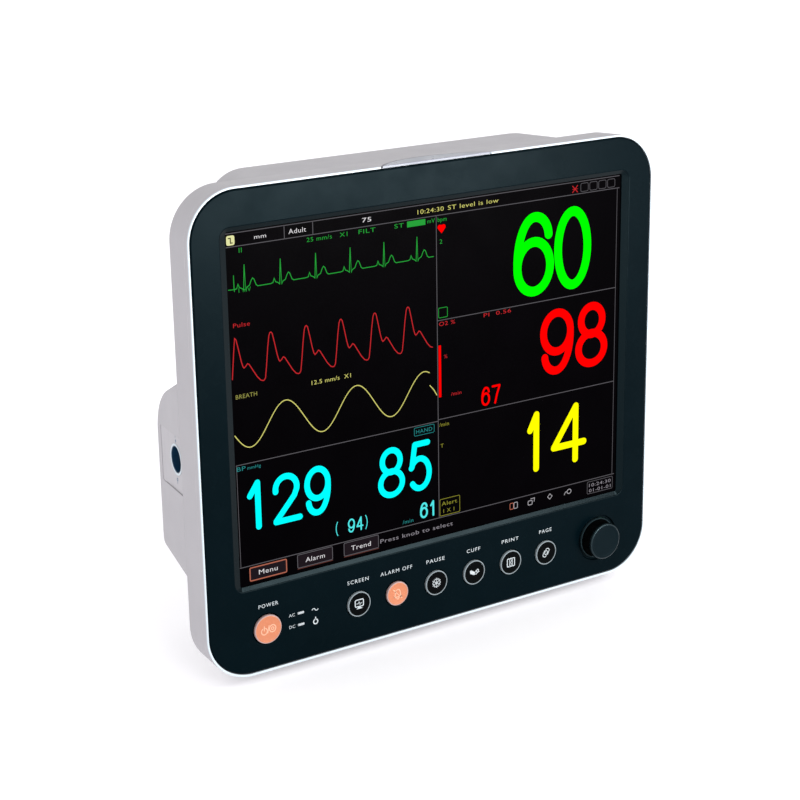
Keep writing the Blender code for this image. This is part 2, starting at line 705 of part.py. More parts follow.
def rear_housing():
    """Rear shell: main body, side pods, deep centre, and everything cut through its wall."""
    body = loft("rear_housing", main_sections(0.0))
    join(body, loft("bulge_form", bulge_sections(0.0), cutter=True))
    join(body, pod("left_pod_form", -1, LEFT_POD_SHIFT, 0.0))
    join(body, pod("right_pod_form", 1, RIGHT_POD_SHIFT, 0.0))
    cut(body, housing_hollow())
    cut(body, box("housing_front", (400.0, 60.0, 400.0), (0.0, POD_FRONT - 30.0, 0.0), cutter=True))
    for i, (side_x, side_z) in enumerate([(-1, -1), (1, -1), (-1, 1), (1, 1)]):
        spot = (side_x * VESA / 2, 0.0, VESA_Z + side_z * VESA / 2)
        boss = rod("boss_%d" % i, 5.5, 12.0, (spot[0], BULGE_BACK - 7.0, spot[2]), sides=20,
                   cutter=True)
        join(body, boss)
        bore = rod("boss_bore_%d" % i, 2.1, 10.0, (spot[0], BULGE_BACK - 4.0, spot[2]), sides=16,
                   cutter=True)
        cut(body, bore)
    cut(body, port_pocket(0.0))
    cut(body, box("inlet_cut", (INLET_BODY_W + 0.8, 16.0, INLET_BODY_H + 0.8),
                  (INLET_X, BULGE_BACK - 12.0, INLET_Z), cutter=True))
    for name, (x, z, w, h) in PORTS.items():
        cut(body, box(name + "_cut", (w + 0.8, 16.0, h + 0.8), (x, BULGE_BACK - 12.0, z),
                      cutter=True))
    cut(body, rod("post_cut", 4.4, 16.0, (POST_X, BULGE_BACK - 12.0, POST_Z), sides=24, cutter=True))
    cut(body, box("grip_cut", (GRIP_W + 0.8, 16.0, GRIP_HIGH - GRIP_LOW + 0.8),
                  (0.0, HOUSING_BACK, (GRIP_LOW + GRIP_HIGH) / 2), cutter=True))
    cut(body, box("battery_cut", (BATTERY_W + 0.8, 16.0, BATTERY_HIGH - BATTERY_LOW + 0.8),
                  (BATTERY_X, BULGE_BACK, (BATTERY_LOW + BATTERY_HIGH) / 2), cutter=True))
    cut(body, vent_rows("speaker_slots", SPEAKER_X, SPEAKER_Z, 7, 1.0))
    cut(body, vent_rows("vent_slots", VENT_X, SPEAKER_Z, 7, 1.35))
    cut(body, box("socket_panel_cut", (16.0, 40.4, PANEL_H + 0.8), (0.0, -2.8, 0.0), LEFT_SIDE,
                  cutter=True))
    cut(body, box("sensor_panel_cut", (16.0, SENSOR_W + 0.8, SENSOR_H + 0.8),
                  (0.0, 0.0, SENSOR_Z), RIGHT_SIDE, cutter=True))
    cut(body, box("recorder_cut", (16.0, RECORDER_W + 0.8, RECORDER_H + 0.8),
                  (0.0, RECORDER_Y, RECORDER_Z), RIGHT_SIDE, cutter=True))
    cut(body, box("plate_cut", (PLATE_W + 0.8, PLATE_L + 0.8, 16.0), (0.0, PLATE_Y, MAIN_BOTTOM),
                  cutter=True))
    return paint(body, "housing")


def grip_cup():
    """Recessed carrying grip: a tub with a flange, pushed in from behind."""
    middle = (GRIP_LOW + GRIP_HIGH) / 2
    tall = GRIP_HIGH - GRIP_LOW
    flange = 1.6
    cup = box("grip_cup", (GRIP_W + 8.0, flange, tall + 8.0),
              (0.0, HOUSING_BACK + GAP + flange / 2, middle), bevel=0.5)
    join(cup, box("grip_tub", (GRIP_W, GRIP_DEEP, tall),
                  (0.0, HOUSING_BACK + 1.0 - GRIP_DEEP / 2, middle), cutter=True))
    cut(cup, box("grip_space", (GRIP_W - 4.0, GRIP_DEEP + 4.0, tall - 4.0),
                 (0.0, HOUSING_BACK + 5.0 - GRIP_DEEP / 2 + 2.0, middle), cutter=True))
    return paint(cup, "grey_plastic")


# ---------------------------------------------------------------- side panels

def side_frames():
    """Frames on the outer faces of the pods: local +X points inwards on the left, outwards on the
    right, and the origin is on the outer face."""
    x = POD_SIDE - POD_SLOPE * (SIDE_DEPTH - POD_FRONT)
    left = frame_at("left_side", at(-x, SIDE_DEPTH, SIDE_Z), -SIDE_TURN)
    right = frame_at("right_side", at(x, SIDE_DEPTH, SIDE_Z), SIDE_TURN)
    return left, right


def local_slab(name, outline, tall, parent, centre):
    """A top-view outline in a side frame, (x, y), with its height along Z."""
    piece = slab(name, [outline], -tall / 2, tall / 2, "top")
    piece.matrix_world.identity()
    piece.rotation_euler = (0.0, 0.0, 0.0)
    return place(piece, centre, parent)


def socket_panel():
    """Left connector panel: sunk, with a ramp up to the housing at its rear edge."""
    front, ramp, shoulder, rear = -18.5, 4.5, 12.6, 17.1
    face, flush, inner = PANEL_SUNK, 0.4, 4.6
    panel = local_slab("socket_panel", [
        (face, front), (face, ramp), (flush, shoulder), (flush, rear), (inner, rear), (inner, front),
    ], PANEL_H, LEFT_SIDE, (0.0, 0.0, 0.0))
    cut(panel, rod("ecg_hole", ECG_TUBE_R + GAP, 20.0, (0.0, ECG_Y, ECG_Z), "X", LEFT_SIDE, cutter=True))
    return paint(panel, "housing")


def ecg_socket():
    """Round patient-cable socket: a light collar with a dark blue contact insert."""
    shell = turned("ecg_socket", [
        (ECG_BORE_R, 0.9), (ECG_FLANGE_R, 0.9), (ECG_FLANGE_R, 0.3), (ECG_TUBE_R, 0.3),
        (ECG_TUBE_R, -ECG_DEEP), (ECG_BORE_R, -ECG_DEEP), (ECG_BORE_R, 0.9),
    ], (PANEL_SUNK, ECG_Y, ECG_Z), "left", LEFT_SIDE)
    paint(shell, "white_trim")
    insert_r, pin_circle_r = ECG_BORE_R - GAP, 4.8
    insert = turned("ecg_insert", [
        (0.0, -5.0), (insert_r, -5.0), (insert_r, -ECG_DEEP), (0.0, -ECG_DEEP),
    ], (PANEL_SUNK, ECG_Y, ECG_Z), "left", LEFT_SIDE)
    for i in range(5):
        angle = math.radians(54.0 + 72.0 * i)
        cut(insert, rod("ecg_pin_%d" % i, 0.9, 8.0, (
            6.0, ECG_Y + pin_circle_r * math.cos(angle), ECG_Z + pin_circle_r * math.sin(angle),
        ), "X", LEFT_SIDE, sides=10, cutter=True))
    paint(insert, "blue")


def sensor_panel():
    """Right connector tray, sunk so that its connectors stay inside the pod's outline."""
    tray = box("sensor_panel", (SENSOR_DEEP + 2.0, SENSOR_W, SENSOR_H),
               (-SENSOR_DEEP / 2 - 1.3, 0.0, SENSOR_Z), RIGHT_SIDE, bevel=0.5)
    cut(tray, box("sensor_space", (SENSOR_DEEP + 4.0, SENSOR_W - 3.6, SENSOR_H - 3.6),
                  (-SENSOR_DEEP / 2 + 1.7, 0.0, SENSOR_Z), RIGHT_SIDE, cutter=True))
    for name, (z, radius) in SENSOR_SPOTS.items():
        cut(tray, rod(name + "_hole", radius + GAP, 20.0, (-SENSOR_DEEP, 0.0, z), "X", RIGHT_SIDE,
                      cutter=True))
    return paint(tray, "housing")


def sensor_connectors():
    for name, (z, radius) in SENSOR_SPOTS.items():
        height = 5.5 if name == "nibp_port" else 2.0
        bore = radius - 1.2 if name != "nibp_port" else 2.2
        connector = turned(name, [
            (0.0, -8.0), (bore, -8.0), (bore, height), (radius, height), (radius, 0.9),
            (radius + 1.2, 0.9), (radius + 1.2, 0.3), (radius, 0.3), (radius, -11.0), (0.0, -11.0),
        ], (-SENSOR_DEEP, 0.0, z), "right", RIGHT_SIDE, sides=18)
        paint(connector, {"spo2_socket": "blue", "nibp_port": "brass"}.get(name, "grey_plastic"))


# ---------------------------------------------------------------- recorder

def recorder():
    """Side recorder: frame, hinged door with the platen roller, print head and paper roll."""
    z = RECORDER_Z
    tub = box("recorder_frame", (RECORDER_DEEP, RECORDER_W, RECORDER_H),
              (-RECORDER_DEEP / 2 - GAP, RECORDER_Y, z), RIGHT_SIDE, bevel=0.6)
    cut(tub, box("recorder_space", (RECORDER_DEEP, RECORDER_W - 3.2, RECORDER_H - 4.0),
                 (-RECORDER_DEEP / 2 + 1.6, RECORDER_Y, z), RIGHT_SIDE, cutter=True))
    paint(tub, "grey_plastic")

    inside = RECORDER_H - 4.0 - 1.2
    door_end = HINGE_Y + 0.4
    door = box("recorder_door", (DOOR_THICK, door_end - DOOR_FREE_EDGE, inside),
               (-GAP - DOOR_THICK / 2, (door_end + DOOR_FREE_EDGE) / 2, z), RIGHT_SIDE, bevel=0.4)
    for end in (-1, 1):
        join(door, rod("door_ear_%d" % end, 2.9, 5.0, (HINGE_X, HINGE_Y, z + end * (inside / 2 - 2.6)),
                       "Z", RIGHT_SIDE, sides=20, cutter=True))
        join(door, box("platen_arm_%d" % end, (7.6, 6.0, 2.4),
                       (-5.6, PLATEN_Y, z + end * (PAPER_W / 2 + 4.2)), RIGHT_SIDE, cutter=True))
    cut(door, rod("hinge_bore", 1.35, 90.0, (HINGE_X, HINGE_Y, z), "Z", RIGHT_SIDE, sides=16,
                  cutter=True))
    cut(door, rod("platen_bore", 1.5, 61.0, (PLATEN_X, PLATEN_Y, z), "Z", RIGHT_SIDE, sides=16,
                  cutter=True))
    cut(door, box("paper_slit", (12.0, 1.6, PAPER_W + 2.0), (-1.0, DOOR_FREE_EDGE, z), RIGHT_SIDE,
                  cutter=True))
    paint(door, "housing")

    pin = rod("recorder_hinge_pin", 1.0, inside + 0.6, (HINGE_X, HINGE_Y, z), "Z", RIGHT_SIDE,
              sides=16)
    paint(pin, "steel")

    journal = PAPER_W / 2 + 5.4
    platen = turned("platen_roller", [
        (0.0, journal), (1.2, journal), (1.2, PAPER_W / 2 + 1.0), (PLATEN_R, PAPER_W / 2 + 1.0),
        (PLATEN_R, -PAPER_W / 2 - 1.0), (1.2, -PAPER_W / 2 - 1.0), (1.2, -journal), (0.0, -journal),
    ], (PLATEN_X, PLATEN_Y, z), "up", RIGHT_SIDE, sides=20)
    paint(platen, "rubber")

    roll = turned("paper_roll", [
        (4.0, PAPER_W / 2), (ROLL_R, PAPER_W / 2), (ROLL_R, -PAPER_W / 2), (4.0, -PAPER_W / 2),
        (4.0, PAPER_W / 2),
    ], (ROLL_X, ROLL_Y, z), "up", RIGHT_SIDE)
    paint(roll, "paper")

    spindle = rod("paper_spindle", 3.5, inside + 0.6, (ROLL_X, ROLL_Y, z), "Z", RIGHT_SIDE)
    paint(spindle, "grey_plastic")

    head = box("thermal_head", (2.0, 6.0, inside + 0.6), (-10.8, PLATEN_Y, z), RIGHT_SIDE, bevel=0.3)
    paint(head, "steel")


# ---------------------------------------------------------------- back and underside

def ac_inlet():
    """Mains inlet with three blades and a drawer for its fuses."""
    flange = 2.0
    body = box("ac_inlet", (INLET_BODY_W + 5.0, flange, INLET_BODY_H + 5.0),
               (INLET_X, POCKET_FACE + GAP + flange / 2, INLET_Z), bevel=0.5)
    join(body, box("inlet_body", (INLET_BODY_W, 28.0, INLET_BODY_H),
                   (INLET_X, POCKET_FACE - 13.0, INLET_Z), cutter=True))
    cut(body, slab("inlet_mouth", [rounded(24.2, 16.4, 3.0, (INLET_X, INLET_Z + 8.0), steps=3)],
                   POCKET_FACE - 15.0, POCKET_FACE + 8.0, cutter=True))
    for dx, dz in ((-7.0, -2.0), (0.0, 2.2), (7.0, -2.0)):
        join(body, box("blade_%d" % dx, (2.0, 15.0, 4.0),
                       (INLET_X + dx, POCKET_FACE - 9.0, INLET_Z + 8.0 + dz), cutter=True))
    cut(body, box("drawer_space", (22.6, 24.0, 10.6), (INLET_X, POCKET_FACE - 5.0, FUSE_Z),
                  cutter=True))
    paint(body, "black_plastic")
    drawer = box("fuse_drawer", (22.0, 18.0, 10.0), (INLET_X, POCKET_FACE - 5.6, FUSE_Z), bevel=0.4)
    cut(drawer, box("drawer_notch", (8.0, 3.0, 2.0), (INLET_X, POCKET_FACE + 3.2, FUSE_Z + 5.0),
                    cutter=True))
    paint(drawer, "grey_plastic")


def ports():
    """Network and data sockets: shells with an open mouth."""
    for name, (x, z, w, h) in PORTS.items():
        shell = box(name, (w, 18.0, h), (x, POCKET_FACE - 8.2, z), bevel=0.3)
        cut(shell, box(name + "_mouth", (w - 2.2, 14.0, h - 2.2), (x, POCKET_FACE - 2.0, z),
                       cutter=True))
        paint(shell, "steel")


def ground_post():
    """Equipotential post with its flange."""
    post = turned("ground_post", [
        (0.0, 8.5), (2.4, 8.5), (3.0, 7.9), (3.0, 2.0), (6.5, 2.0), (6.5, 0.3), (4.1, 0.3),
        (4.1, -6.0), (0.0, -6.0),
    ], (POST_X, POCKET_FACE, POST_Z), "back", sides=24)
    return paint(post, "brass")


def battery():
    """Battery in its bay behind a hinged door low on the back."""
    middle = (BATTERY_LOW + BATTERY_HIGH) / 2
    tall = BATTERY_HIGH - BATTERY_LOW
    bay = box("battery_bay", (BATTERY_W, 57.0, tall), (BATTERY_X, BULGE_BACK - 34.3, middle),
              bevel=0.6)
    cut(bay, box("bay_space", (BATTERY_W - 3.0, 60.0, tall - 3.0),
                 (BATTERY_X, BULGE_BACK - 30.9, middle), cutter=True))
    paint(bay, "grey_plastic")
    pack = box("battery_pack", (BATTERY_W - 5.0, 50.0, tall - 5.0),
               (BATTERY_X, BULGE_BACK - 34.0, middle), bevel=1.2)
    paint(pack, "black_plastic")
    door_top, door_bottom = BATTERY_HIGH - 0.5, BATTERY_LOW + 0.2
    door = box("battery_door", (BATTERY_W - 0.4, 2.4, door_top - door_bottom),
               (BATTERY_X, BULGE_BACK - 1.5, (door_top + door_bottom) / 2), bevel=0.4)
    join(door, rod("door_barrel", 2.0, BATTERY_W - 8.0, BATTERY_HINGE, "X", sides=20, cutter=True))
    cut(door, rod("barrel_bore", 1.3, BATTERY_W + 8.0, BATTERY_HINGE, "X", sides=16, cutter=True))
    cut(door, slab("door_notch", [rounded(18.0, 6.0, 2.9, (BATTERY_X, BATTERY_LOW + 7.0), steps=4)],
                   BULGE_BACK - 1.4, BULGE_BACK + 3.0, cutter=True))
    paint(door, "housing")
    pin = rod("battery_hinge_pin", 1.0, BATTERY_W - 4.4, BATTERY_HINGE, "X", sides=16)
    paint(pin, "steel")


def feet():
    for name, (x, depth) in FOOT_SPOTS.items():
        height = MAIN_BOTTOM - FLOOR
        foot = turned(name, [
            (0.0, -GAP), (9.5, -GAP), (9.0, -height + 1.2), (7.8, -height), (0.0, -height),
        ], (x, depth, MAIN_BOTTOM), "up", sides=28)
        paint(foot, "rubber")


def mount_plate():
    """Steel plate under the monitor with four holes for a stand's screws."""
    top = MAIN_BOTTOM + 1.5
    hole_x, hole_y = 38.0, 15.0
    loops = [rounded(PLATE_W, PLATE_L, 4.0, (0.0, PLATE_Y), steps=3)]
    for side_x in (-1, 1):
        for side_y in (-1, 1):
            loops.append(circle(2.6, (side_x * hole_x, PLATE_Y + side_y * hole_y), 16))
    return paint(slab("mount_plate", loops, top - 2.0, top, "top"), "steel")


# ---------------------------------------------------------------- inside

def chassis_plate():
    """Pressed steel plate that carries the screen in front and the boards behind."""
    low, high = 15.0, 16.5
    plate = slab("chassis_plate", [
        rounded(334.0, 256.0, 5.0, (SCREEN_X, SCREEN_Z), steps=3),
        rounded(210.0, 22.0, 6.0, (0.0, 116.0), steps=3),
    ], low, high)
    for side_x in (-1, 1):
        join(plate, box("flange_%d" % side_x, (1.5, 5.4, 240.0),
                        (SCREEN_X + side_x * 164.0, 18.2, SCREEN_Z), cutter=True))
    for side_x in (-1, 1):
        for side_z in (-1, 1):
            join(plate, rod("standoff_%d_%d" % (side_x, side_z), 2.5, 5.4,
                            (BOARD_X + side_x * 88.0, 18.5, BOARD_Z + side_z * 62.0), sides=12,
                            cutter=True))
    return paint(plate, "steel")


def circuit_board(name, size, centre, parts, colour="board"):
    """A board with its larger components, each a (size, offset from the board's centre) pair."""
    board = box(name, size, centre)
    for i, (part_size, offset) in enumerate(parts):
        spot = tuple(c + o for c, o in zip(centre, offset))
        join(board, box("%s_part_%d" % (name, i), part_size, spot, cutter=True))
    return paint(board, colour)


def boards():
    circuit_board("main_board", (190.0, 1.6, 138.0), (BOARD_X, 22.4, BOARD_Z), [
        ((38.0, 12.0, 38.0), (40.0, 6.0, 25.0)), ((24.0, 4.0, 24.0), (-20.0, 2.0, 30.0)),
        ((60.0, 7.0, 8.0), (-40.0, 3.5, 60.0)), ((12.0, 6.0, 50.0), (84.0, 3.0, -20.0)),
    ])
    circuit_board("power_supply", (92.0, 1.6, 62.0), (56.0, 95.0, -62.0), [
        ((30.0, 24.0, 26.0), (-18.0, -12.0, 8.0)), ((16.0, 26.0, 16.0), (20.0, -13.0, 16.0)),
        ((70.0, 14.0, 4.0), (0.0, -7.0, -24.0)),
    ])


def internals():
    module = box("parameter_module", (104.0, 22.0, 92.0), (-88.0, 46.0, -34.0), bevel=1.0)
    join(module, box("module_plug", (20.0, 10.0, 12.0), (-60.0, 31.0, -20.0), cutter=True))
    paint(module, "steel")
    pump = turned("nibp_pump", [
        (0.0, 30.0), (4.0, 30.0), (4.0, 24.0), (13.5, 24.0), (13.5, -12.0), (15.0, -12.0),
        (15.0, -30.0), (0.0, -30.0),
    ], (66.0, 52.0, -6.0), "left", sides=28)
    paint(pump, "steel")
    valve = box("nibp_valve", (18.0, 16.0, 26.0), (16.0, 52.0, -4.0), bevel=0.6)
    join(valve, rod("valve_nozzle", 2.4, 12.0, (16.0, 52.0, 14.0), "Z", sides=12, cutter=True))
    paint(valve, "grey_plastic")
    speaker = turned("speaker", [
        (0.0, -6.0), (6.0, -6.5), (20.0, 0.0), (SPEAKER_R, 0.0), (SPEAKER_R - 1.0, -3.0),
        (14.0, -12.0), (14.0, -20.0), (0.0, -20.0),
    ], (SPEAKER_X, BULGE_BACK - WALL - 0.6, SPEAKER_Z), "back")
    paint(speaker, "rubber")


clear_scene()
PARTS = collection("patient_monitor")
CUTTERS = collection("patient_monitor_cutters")
LEFT_SIDE, RIGHT_SIDE = side_frames()

front_bezel()
trim_ring()
alarm_lens()
alarm_board()
mid_frame()
lcd_panel()
screen_gasket()
for key_name, (key_x, key_diameter) in KEYS.items():
    key_cap(key_name, key_x, key_diameter)
key_board()
light_pipe()
knob_well()
rotary_knob()
encoder()
rear_housing()
grip_cup()
socket_panel()
ecg_socket()
sensor_panel()
sensor_connectors()
recorder()
ac_inlet()
ports()
ground_post()
battery()
feet()
mount_plate()
chassis_plate()
boards()
internals()
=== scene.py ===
"""Looks of a bedside patient monitor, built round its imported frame.

Sizes are millimetres. A place is (x, depth, z): x to the right of the screen's front, depth behind
the front face of the bezel, z above the bezel's centre. The side frames hold what is on the pods.
"""

import math

import bmesh
import bpy
from mathutils import Euler, Matrix, Vector


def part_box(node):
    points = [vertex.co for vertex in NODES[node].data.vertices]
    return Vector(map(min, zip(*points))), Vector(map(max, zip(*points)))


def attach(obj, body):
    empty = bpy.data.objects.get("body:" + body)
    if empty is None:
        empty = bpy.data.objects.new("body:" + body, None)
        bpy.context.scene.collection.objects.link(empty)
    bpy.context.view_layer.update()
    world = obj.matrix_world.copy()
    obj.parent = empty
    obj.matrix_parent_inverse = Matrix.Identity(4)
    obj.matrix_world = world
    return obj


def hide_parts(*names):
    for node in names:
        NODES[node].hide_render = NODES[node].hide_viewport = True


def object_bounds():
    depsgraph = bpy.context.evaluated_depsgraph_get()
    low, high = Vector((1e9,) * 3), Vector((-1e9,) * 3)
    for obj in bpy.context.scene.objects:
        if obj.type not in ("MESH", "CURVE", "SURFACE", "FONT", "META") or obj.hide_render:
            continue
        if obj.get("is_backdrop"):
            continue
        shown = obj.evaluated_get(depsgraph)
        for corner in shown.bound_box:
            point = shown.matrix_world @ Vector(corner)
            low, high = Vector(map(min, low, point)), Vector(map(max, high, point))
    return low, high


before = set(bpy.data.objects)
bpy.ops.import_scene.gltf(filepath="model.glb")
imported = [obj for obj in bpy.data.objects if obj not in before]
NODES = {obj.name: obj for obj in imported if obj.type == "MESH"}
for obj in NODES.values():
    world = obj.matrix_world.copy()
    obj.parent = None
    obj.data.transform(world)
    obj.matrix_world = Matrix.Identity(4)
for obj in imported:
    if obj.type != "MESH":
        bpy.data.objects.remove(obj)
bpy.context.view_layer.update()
MM = 0.001
QUARTER_TURN = math.pi / 2

BEZEL_LOW, BEZEL_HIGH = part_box("front_bezel")
FRONT_Y = BEZEL_LOW.y
MIDDLE_Z = (BEZEL_LOW.z + BEZEL_HIGH.z) / 2

# Driving dimensions, as the frame has them
BEZEL_W, BEZEL_H, BEZEL_R = 353.0, 313.0, 30.0
FRAME_W, FRAME_H, FRAME_R = 357.0, 318.4, 32.5
FACE, FACE_R, FACE_MIDDLE = (354.4, 314.9), 31.0, (0.0, 0.25)
FRAME_BACK = 24.8
BAND_FRONT, BAND_DRAFT = 5.3, 0.066
SCREEN_W, SCREEN_H, SCREEN_X, SCREEN_Z = 304.1, 228.1, 0.3, 17.0
WINDOW, WINDOW_R, WINDOW_MIDDLE = (315.2, 235.0), 7.0, (SCREEN_X, 17.4)
HOUSING_BACK, BULGE_BACK, WALL, GAP = 72.0, 112.0, 2.5, 0.3
KEY_Z, KEY_D, POWER_D, KEY_PROUD = -129.0, 17.6, 20.4, 1.3
KEYS = {
    "power_key": -135.4, "display_key": -66.5, "alarm_reset_key": -36.3, "freeze_key": -4.8,
    "nibp_key": 26.6, "record_key": 57.7, "view_key": 88.3,
}
ORANGE_KEYS = ("power_key", "alarm_reset_key")
LENS_LOW, LENS_CLEAR = 157.8, 1.2
STEM_SIZE, STEM_SPOT = (72.0, 6.0, 5.0), (0.0, 9.0, 155.6)
LIGHT_X, LIGHT_ZS, LIGHT_SIZE = -110.4, (-124.4, -132.5), (5.0, 1.8)
KNOB_X, KNOB_Z, KNOB_D, KNOB_PROUD, KNOB_BORE, WELL_R = 135.0, -128.7, 27.0, 9.5, 6.5, 15.0
MAIN_HALF_W, MAIN_BACK_HALF_W, MAIN_R = 146.0, 131.0, 27.0
MAIN_TOP, MAIN_BOTTOM = 156.4, -156.2
BULGE_HALF_W, BULGE_TOP, BULGE_R = 116.0, 98.0, 22.0
POD_FRONT, POD_BACK, POD_BOTTOM, POD_SLOPE = 25.1, 69.0, -94.0, 0.12
POD_SIDE = FRAME_W / 2 - 0.4
RIGHT_POD_RISE = 62.0
SIDE_DEPTH, SIDE_Z = 44.0, -18.5
FOOT_BOTTOM = -165.5
ROUND = (0, 352)  # degrees of a closed line's arc, which stops short of where it began


# --- places

def at(x, depth, z):
    return Vector((x * MM, FRONT_Y + depth * MM, MIDDLE_Z + z * MM))


def side_frame(side):
    """Frame on the outer face of a pod: +X points inwards on the left, outwards on the right."""
    x = POD_SIDE - POD_SLOPE * (SIDE_DEPTH - POD_FRONT)
    turn = side * math.atan(POD_SLOPE)
    return Matrix.Translation(at(side * x, SIDE_DEPTH, SIDE_Z)) @ Matrix.Rotation(turn, 4, "Z")


LEFT_SIDE, RIGHT_SIDE = side_frame(-1), side_frame(1)
FACINGS = {
    "front": (QUARTER_TURN, 0.0, 0.0), "back": (-QUARTER_TURN, 0.0, 0.0), "left": (0.0, -QUARTER_TURN, 0.0),
    "right": (0.0, QUARTER_TURN, 0.0), "up": (0.0, 0.0, 0.0), "down": (math.pi, 0.0, 0.0),
}


def shifted(matrix, x, y, z):
    """A place moved along its own axes."""
    return matrix @ Matrix.Translation(Vector((x, y, z)) * MM)


def spot(x, y, z, facing="up", side=None):
    """Matrix of a place whose local +Z points out of the monitor's front, back, left, ..."""
    turn = Euler(FACINGS[facing]).to_matrix().to_4x4()
    if side is None:
        return Matrix.Translation(at(x, y, z)) @ turn
    return shifted(side, x, y, z) @ turn


# --- outlines

def rounded(width, height, radius, centre=(0.0, 0.0), steps=12):
    """Points of a rectangle with round corners, anticlockwise."""
    points = []
    for corner in range(4):
        side_x = 1 if corner in (0, 3) else -1
        side_y = 1 if corner in (0, 1) else -1
        mid_x = centre[0] + side_x * (width / 2 - radius)
        mid_y = centre[1] + side_y * (height / 2 - radius)
        for step in range(steps + 1):
            angle = (corner + step / steps) * QUARTER_TURN
            points.append((mid_x + radius * math.cos(angle), mid_y + radius * math.sin(angle)))
    return points


def grown(size, radius, by, centre=(0.0, 0.0), steps=12):
    """A rectangle with round corners, moved outwards by a distance all round."""
    return rounded(size[0] + 2 * by, size[1] + 2 * by, radius + by, centre, steps)


def arc(centre, radii, start, end, steps=16):
    """Points along an ellipse's arc, in degrees, anticlockwise from +X when v runs up."""
    points = []
    for step in range(steps + 1):
        angle = math.radians(start + (end - start) * step / steps)
        points.append((centre[0] + radii[0] * math.cos(angle), centre[1] + radii[1] * math.sin(angle)))
    return points


def fillet(radius, steps=6):
    """Pairs of (height, inset) down a quarter round, from its top edge to its side."""
    pairs = []
    for step in range(steps + 1):
        angle = step / steps * QUARTER_TURN
        pairs.append((radius * (1 - math.cos(angle)), radius * (1 - math.sin(angle))))
    return pairs


# --- bodies

def add_object(name, work):
    mesh = bpy.data.meshes.new(name)
    work.to_mesh(mesh)
    work.free()
    made = bpy.data.objects.new(name, mesh)
    bpy.context.scene.collection.objects.link(made)
    return made


def loft(name, sections, place=at):
    """A closed body through outlines of equal point count, each a (depth, outline) pair."""
    work = bmesh.new()
    rings = [[work.verts.new(place(x, depth, z)) for x, z in outline] for depth, outline in sections]
    for near, far in zip(rings, rings[1:]):
        for i in range(len(near)):
            j = (i + 1) % len(near)
            work.faces.new((near[i], near[j], far[j], far[i]))
    work.faces.new(rings[0])
    work.faces.new(rings[-1])
    bmesh.ops.recalc_face_normals(work, faces=work.faces)
    return add_object(name, work)


def upward(x, height, depth):
    """A place for lofts that run upwards: their outlines are (x, depth)."""
    return at(x, depth, height)


def turned(name, profile, matrix, steps=96, ribs=0):
    """A turned body: (radius, height) points run down its outer side; a closed profile is a ring.

    With ribs, a point's third value is how deep they cut there.
    """
    work = bmesh.new()
    closed = profile[0] == profile[-1]
    rings = []
    for radius, height, *rib in (profile[:-1] if closed else profile):
        ring = []
        for i in range(steps if radius else 1):
            angle = 2 * math.pi * i / steps
            reach = radius - sum(rib) * (0.5 + 0.5 * math.cos(ribs * angle))
            point = Vector((reach * math.cos(angle), reach * math.sin(angle), height))
            ring.append(work.verts.new(matrix @ (point * MM)))
        rings.append(ring)
    pairs = list(zip(rings, rings[1:])) + ([(rings[-1], rings[0])] if closed else [])
    for upper, lower in pairs:
        for i in range(steps):
            j = (i + 1) % steps
            corners = list(dict.fromkeys([
                upper[i % len(upper)], upper[j % len(upper)], lower[j % len(lower)], lower[i % len(lower)],
            ]))
            if len(corners) > 2:
                work.faces.new(corners)
    bmesh.ops.recalc_face_normals(work, faces=work.faces)
    return add_object(name, work)


def rod(name, radius, top, bottom, matrix, steps=32):
    """A plain cylinder between two heights."""
    return turned(name, [(0.0, top), (radius, top), (radius, bottom), (0.0, bottom)], matrix, steps)


def block(name, size, matrix, bevel=0.3, segments=3):
    """A box with round edges, its size along the matrix's own axes."""
    work = bmesh.new()
    bmesh.ops.create_cube(work, size=1.0)
    bmesh.ops.scale(work, vec=Vector(size) * MM, verts=work.verts)
    if bevel:
        bmesh.ops.bevel(
            work, geom=work.edges[:], offset=bevel * MM, segments=segments, profile=0.5,
            affect="EDGES",
        )
    bmesh.ops.transform(work, matrix=matrix, verts=work.verts)
    return add_object(name, work)


def settle(piece):
    """Applies a piece's modifiers."""
    bpy.context.view_layer.update()
    graph = bpy.context.evaluated_depsgraph_get()
    mesh = bpy.data.meshes.new_from_object(piece.evaluated_get(graph))
    piece.modifiers.clear()
    old = piece.data
    piece.data = mesh
    bpy.data.meshes.remove(old)
    return piece


def merged(name, pieces):
    """Separate bodies as one object."""
    work = bmesh.new()
    for piece in pieces:
        work.from_mesh(piece.data)
        bpy.data.objects.remove(piece, do_unlink=True)
    return add_object(name, work)


def carved(piece, *cutters, operation="DIFFERENCE"):
    for cutter in cutters:
        step = piece.modifiers.new("Boolean", "BOOLEAN")
        step.operation = operation
        step.solver = "EXACT"
        step.object = cutter
    settle(piece)
    for cutter in cutters:
        bpy.data.objects.remove(cutter, do_unlink=True)
    return piece


def joined(piece, *others):
    return carved(piece, *others, operation="UNION")


def hole_tool(radius, flare, matrix, deep=8.0, steps=96):
    """Cutter for a round hole with a rounded mouth; its +Z points out of the surface."""
    mouth = [(radius + inset, -height) for height, inset in fillet(flare)]
    profile = [(0.0, 2.0), (radius + flare, 2.0)] + mouth + [(radius, -deep), (0.0, -deep)]
    return turned("tool", profile, matrix, steps)


def mouth_tool(size, radius, centre, face, deep, flare=0.5, inward=1, place=at, steps=8):
    """Cutter for a rounded rectangular pocket: from beyond its face to a depth, with a round mouth."""
    sections = [(face - inward * 3.0, flare)]
    sections += [(face + inward * down, out) for down, out in fillet(flare, 4)]
    sections.append((face + inward * deep, 0.0))
    return loft("tool", [
        (depth, grown(size, radius, out, centre, steps)) for depth, out in sections
    ], place)


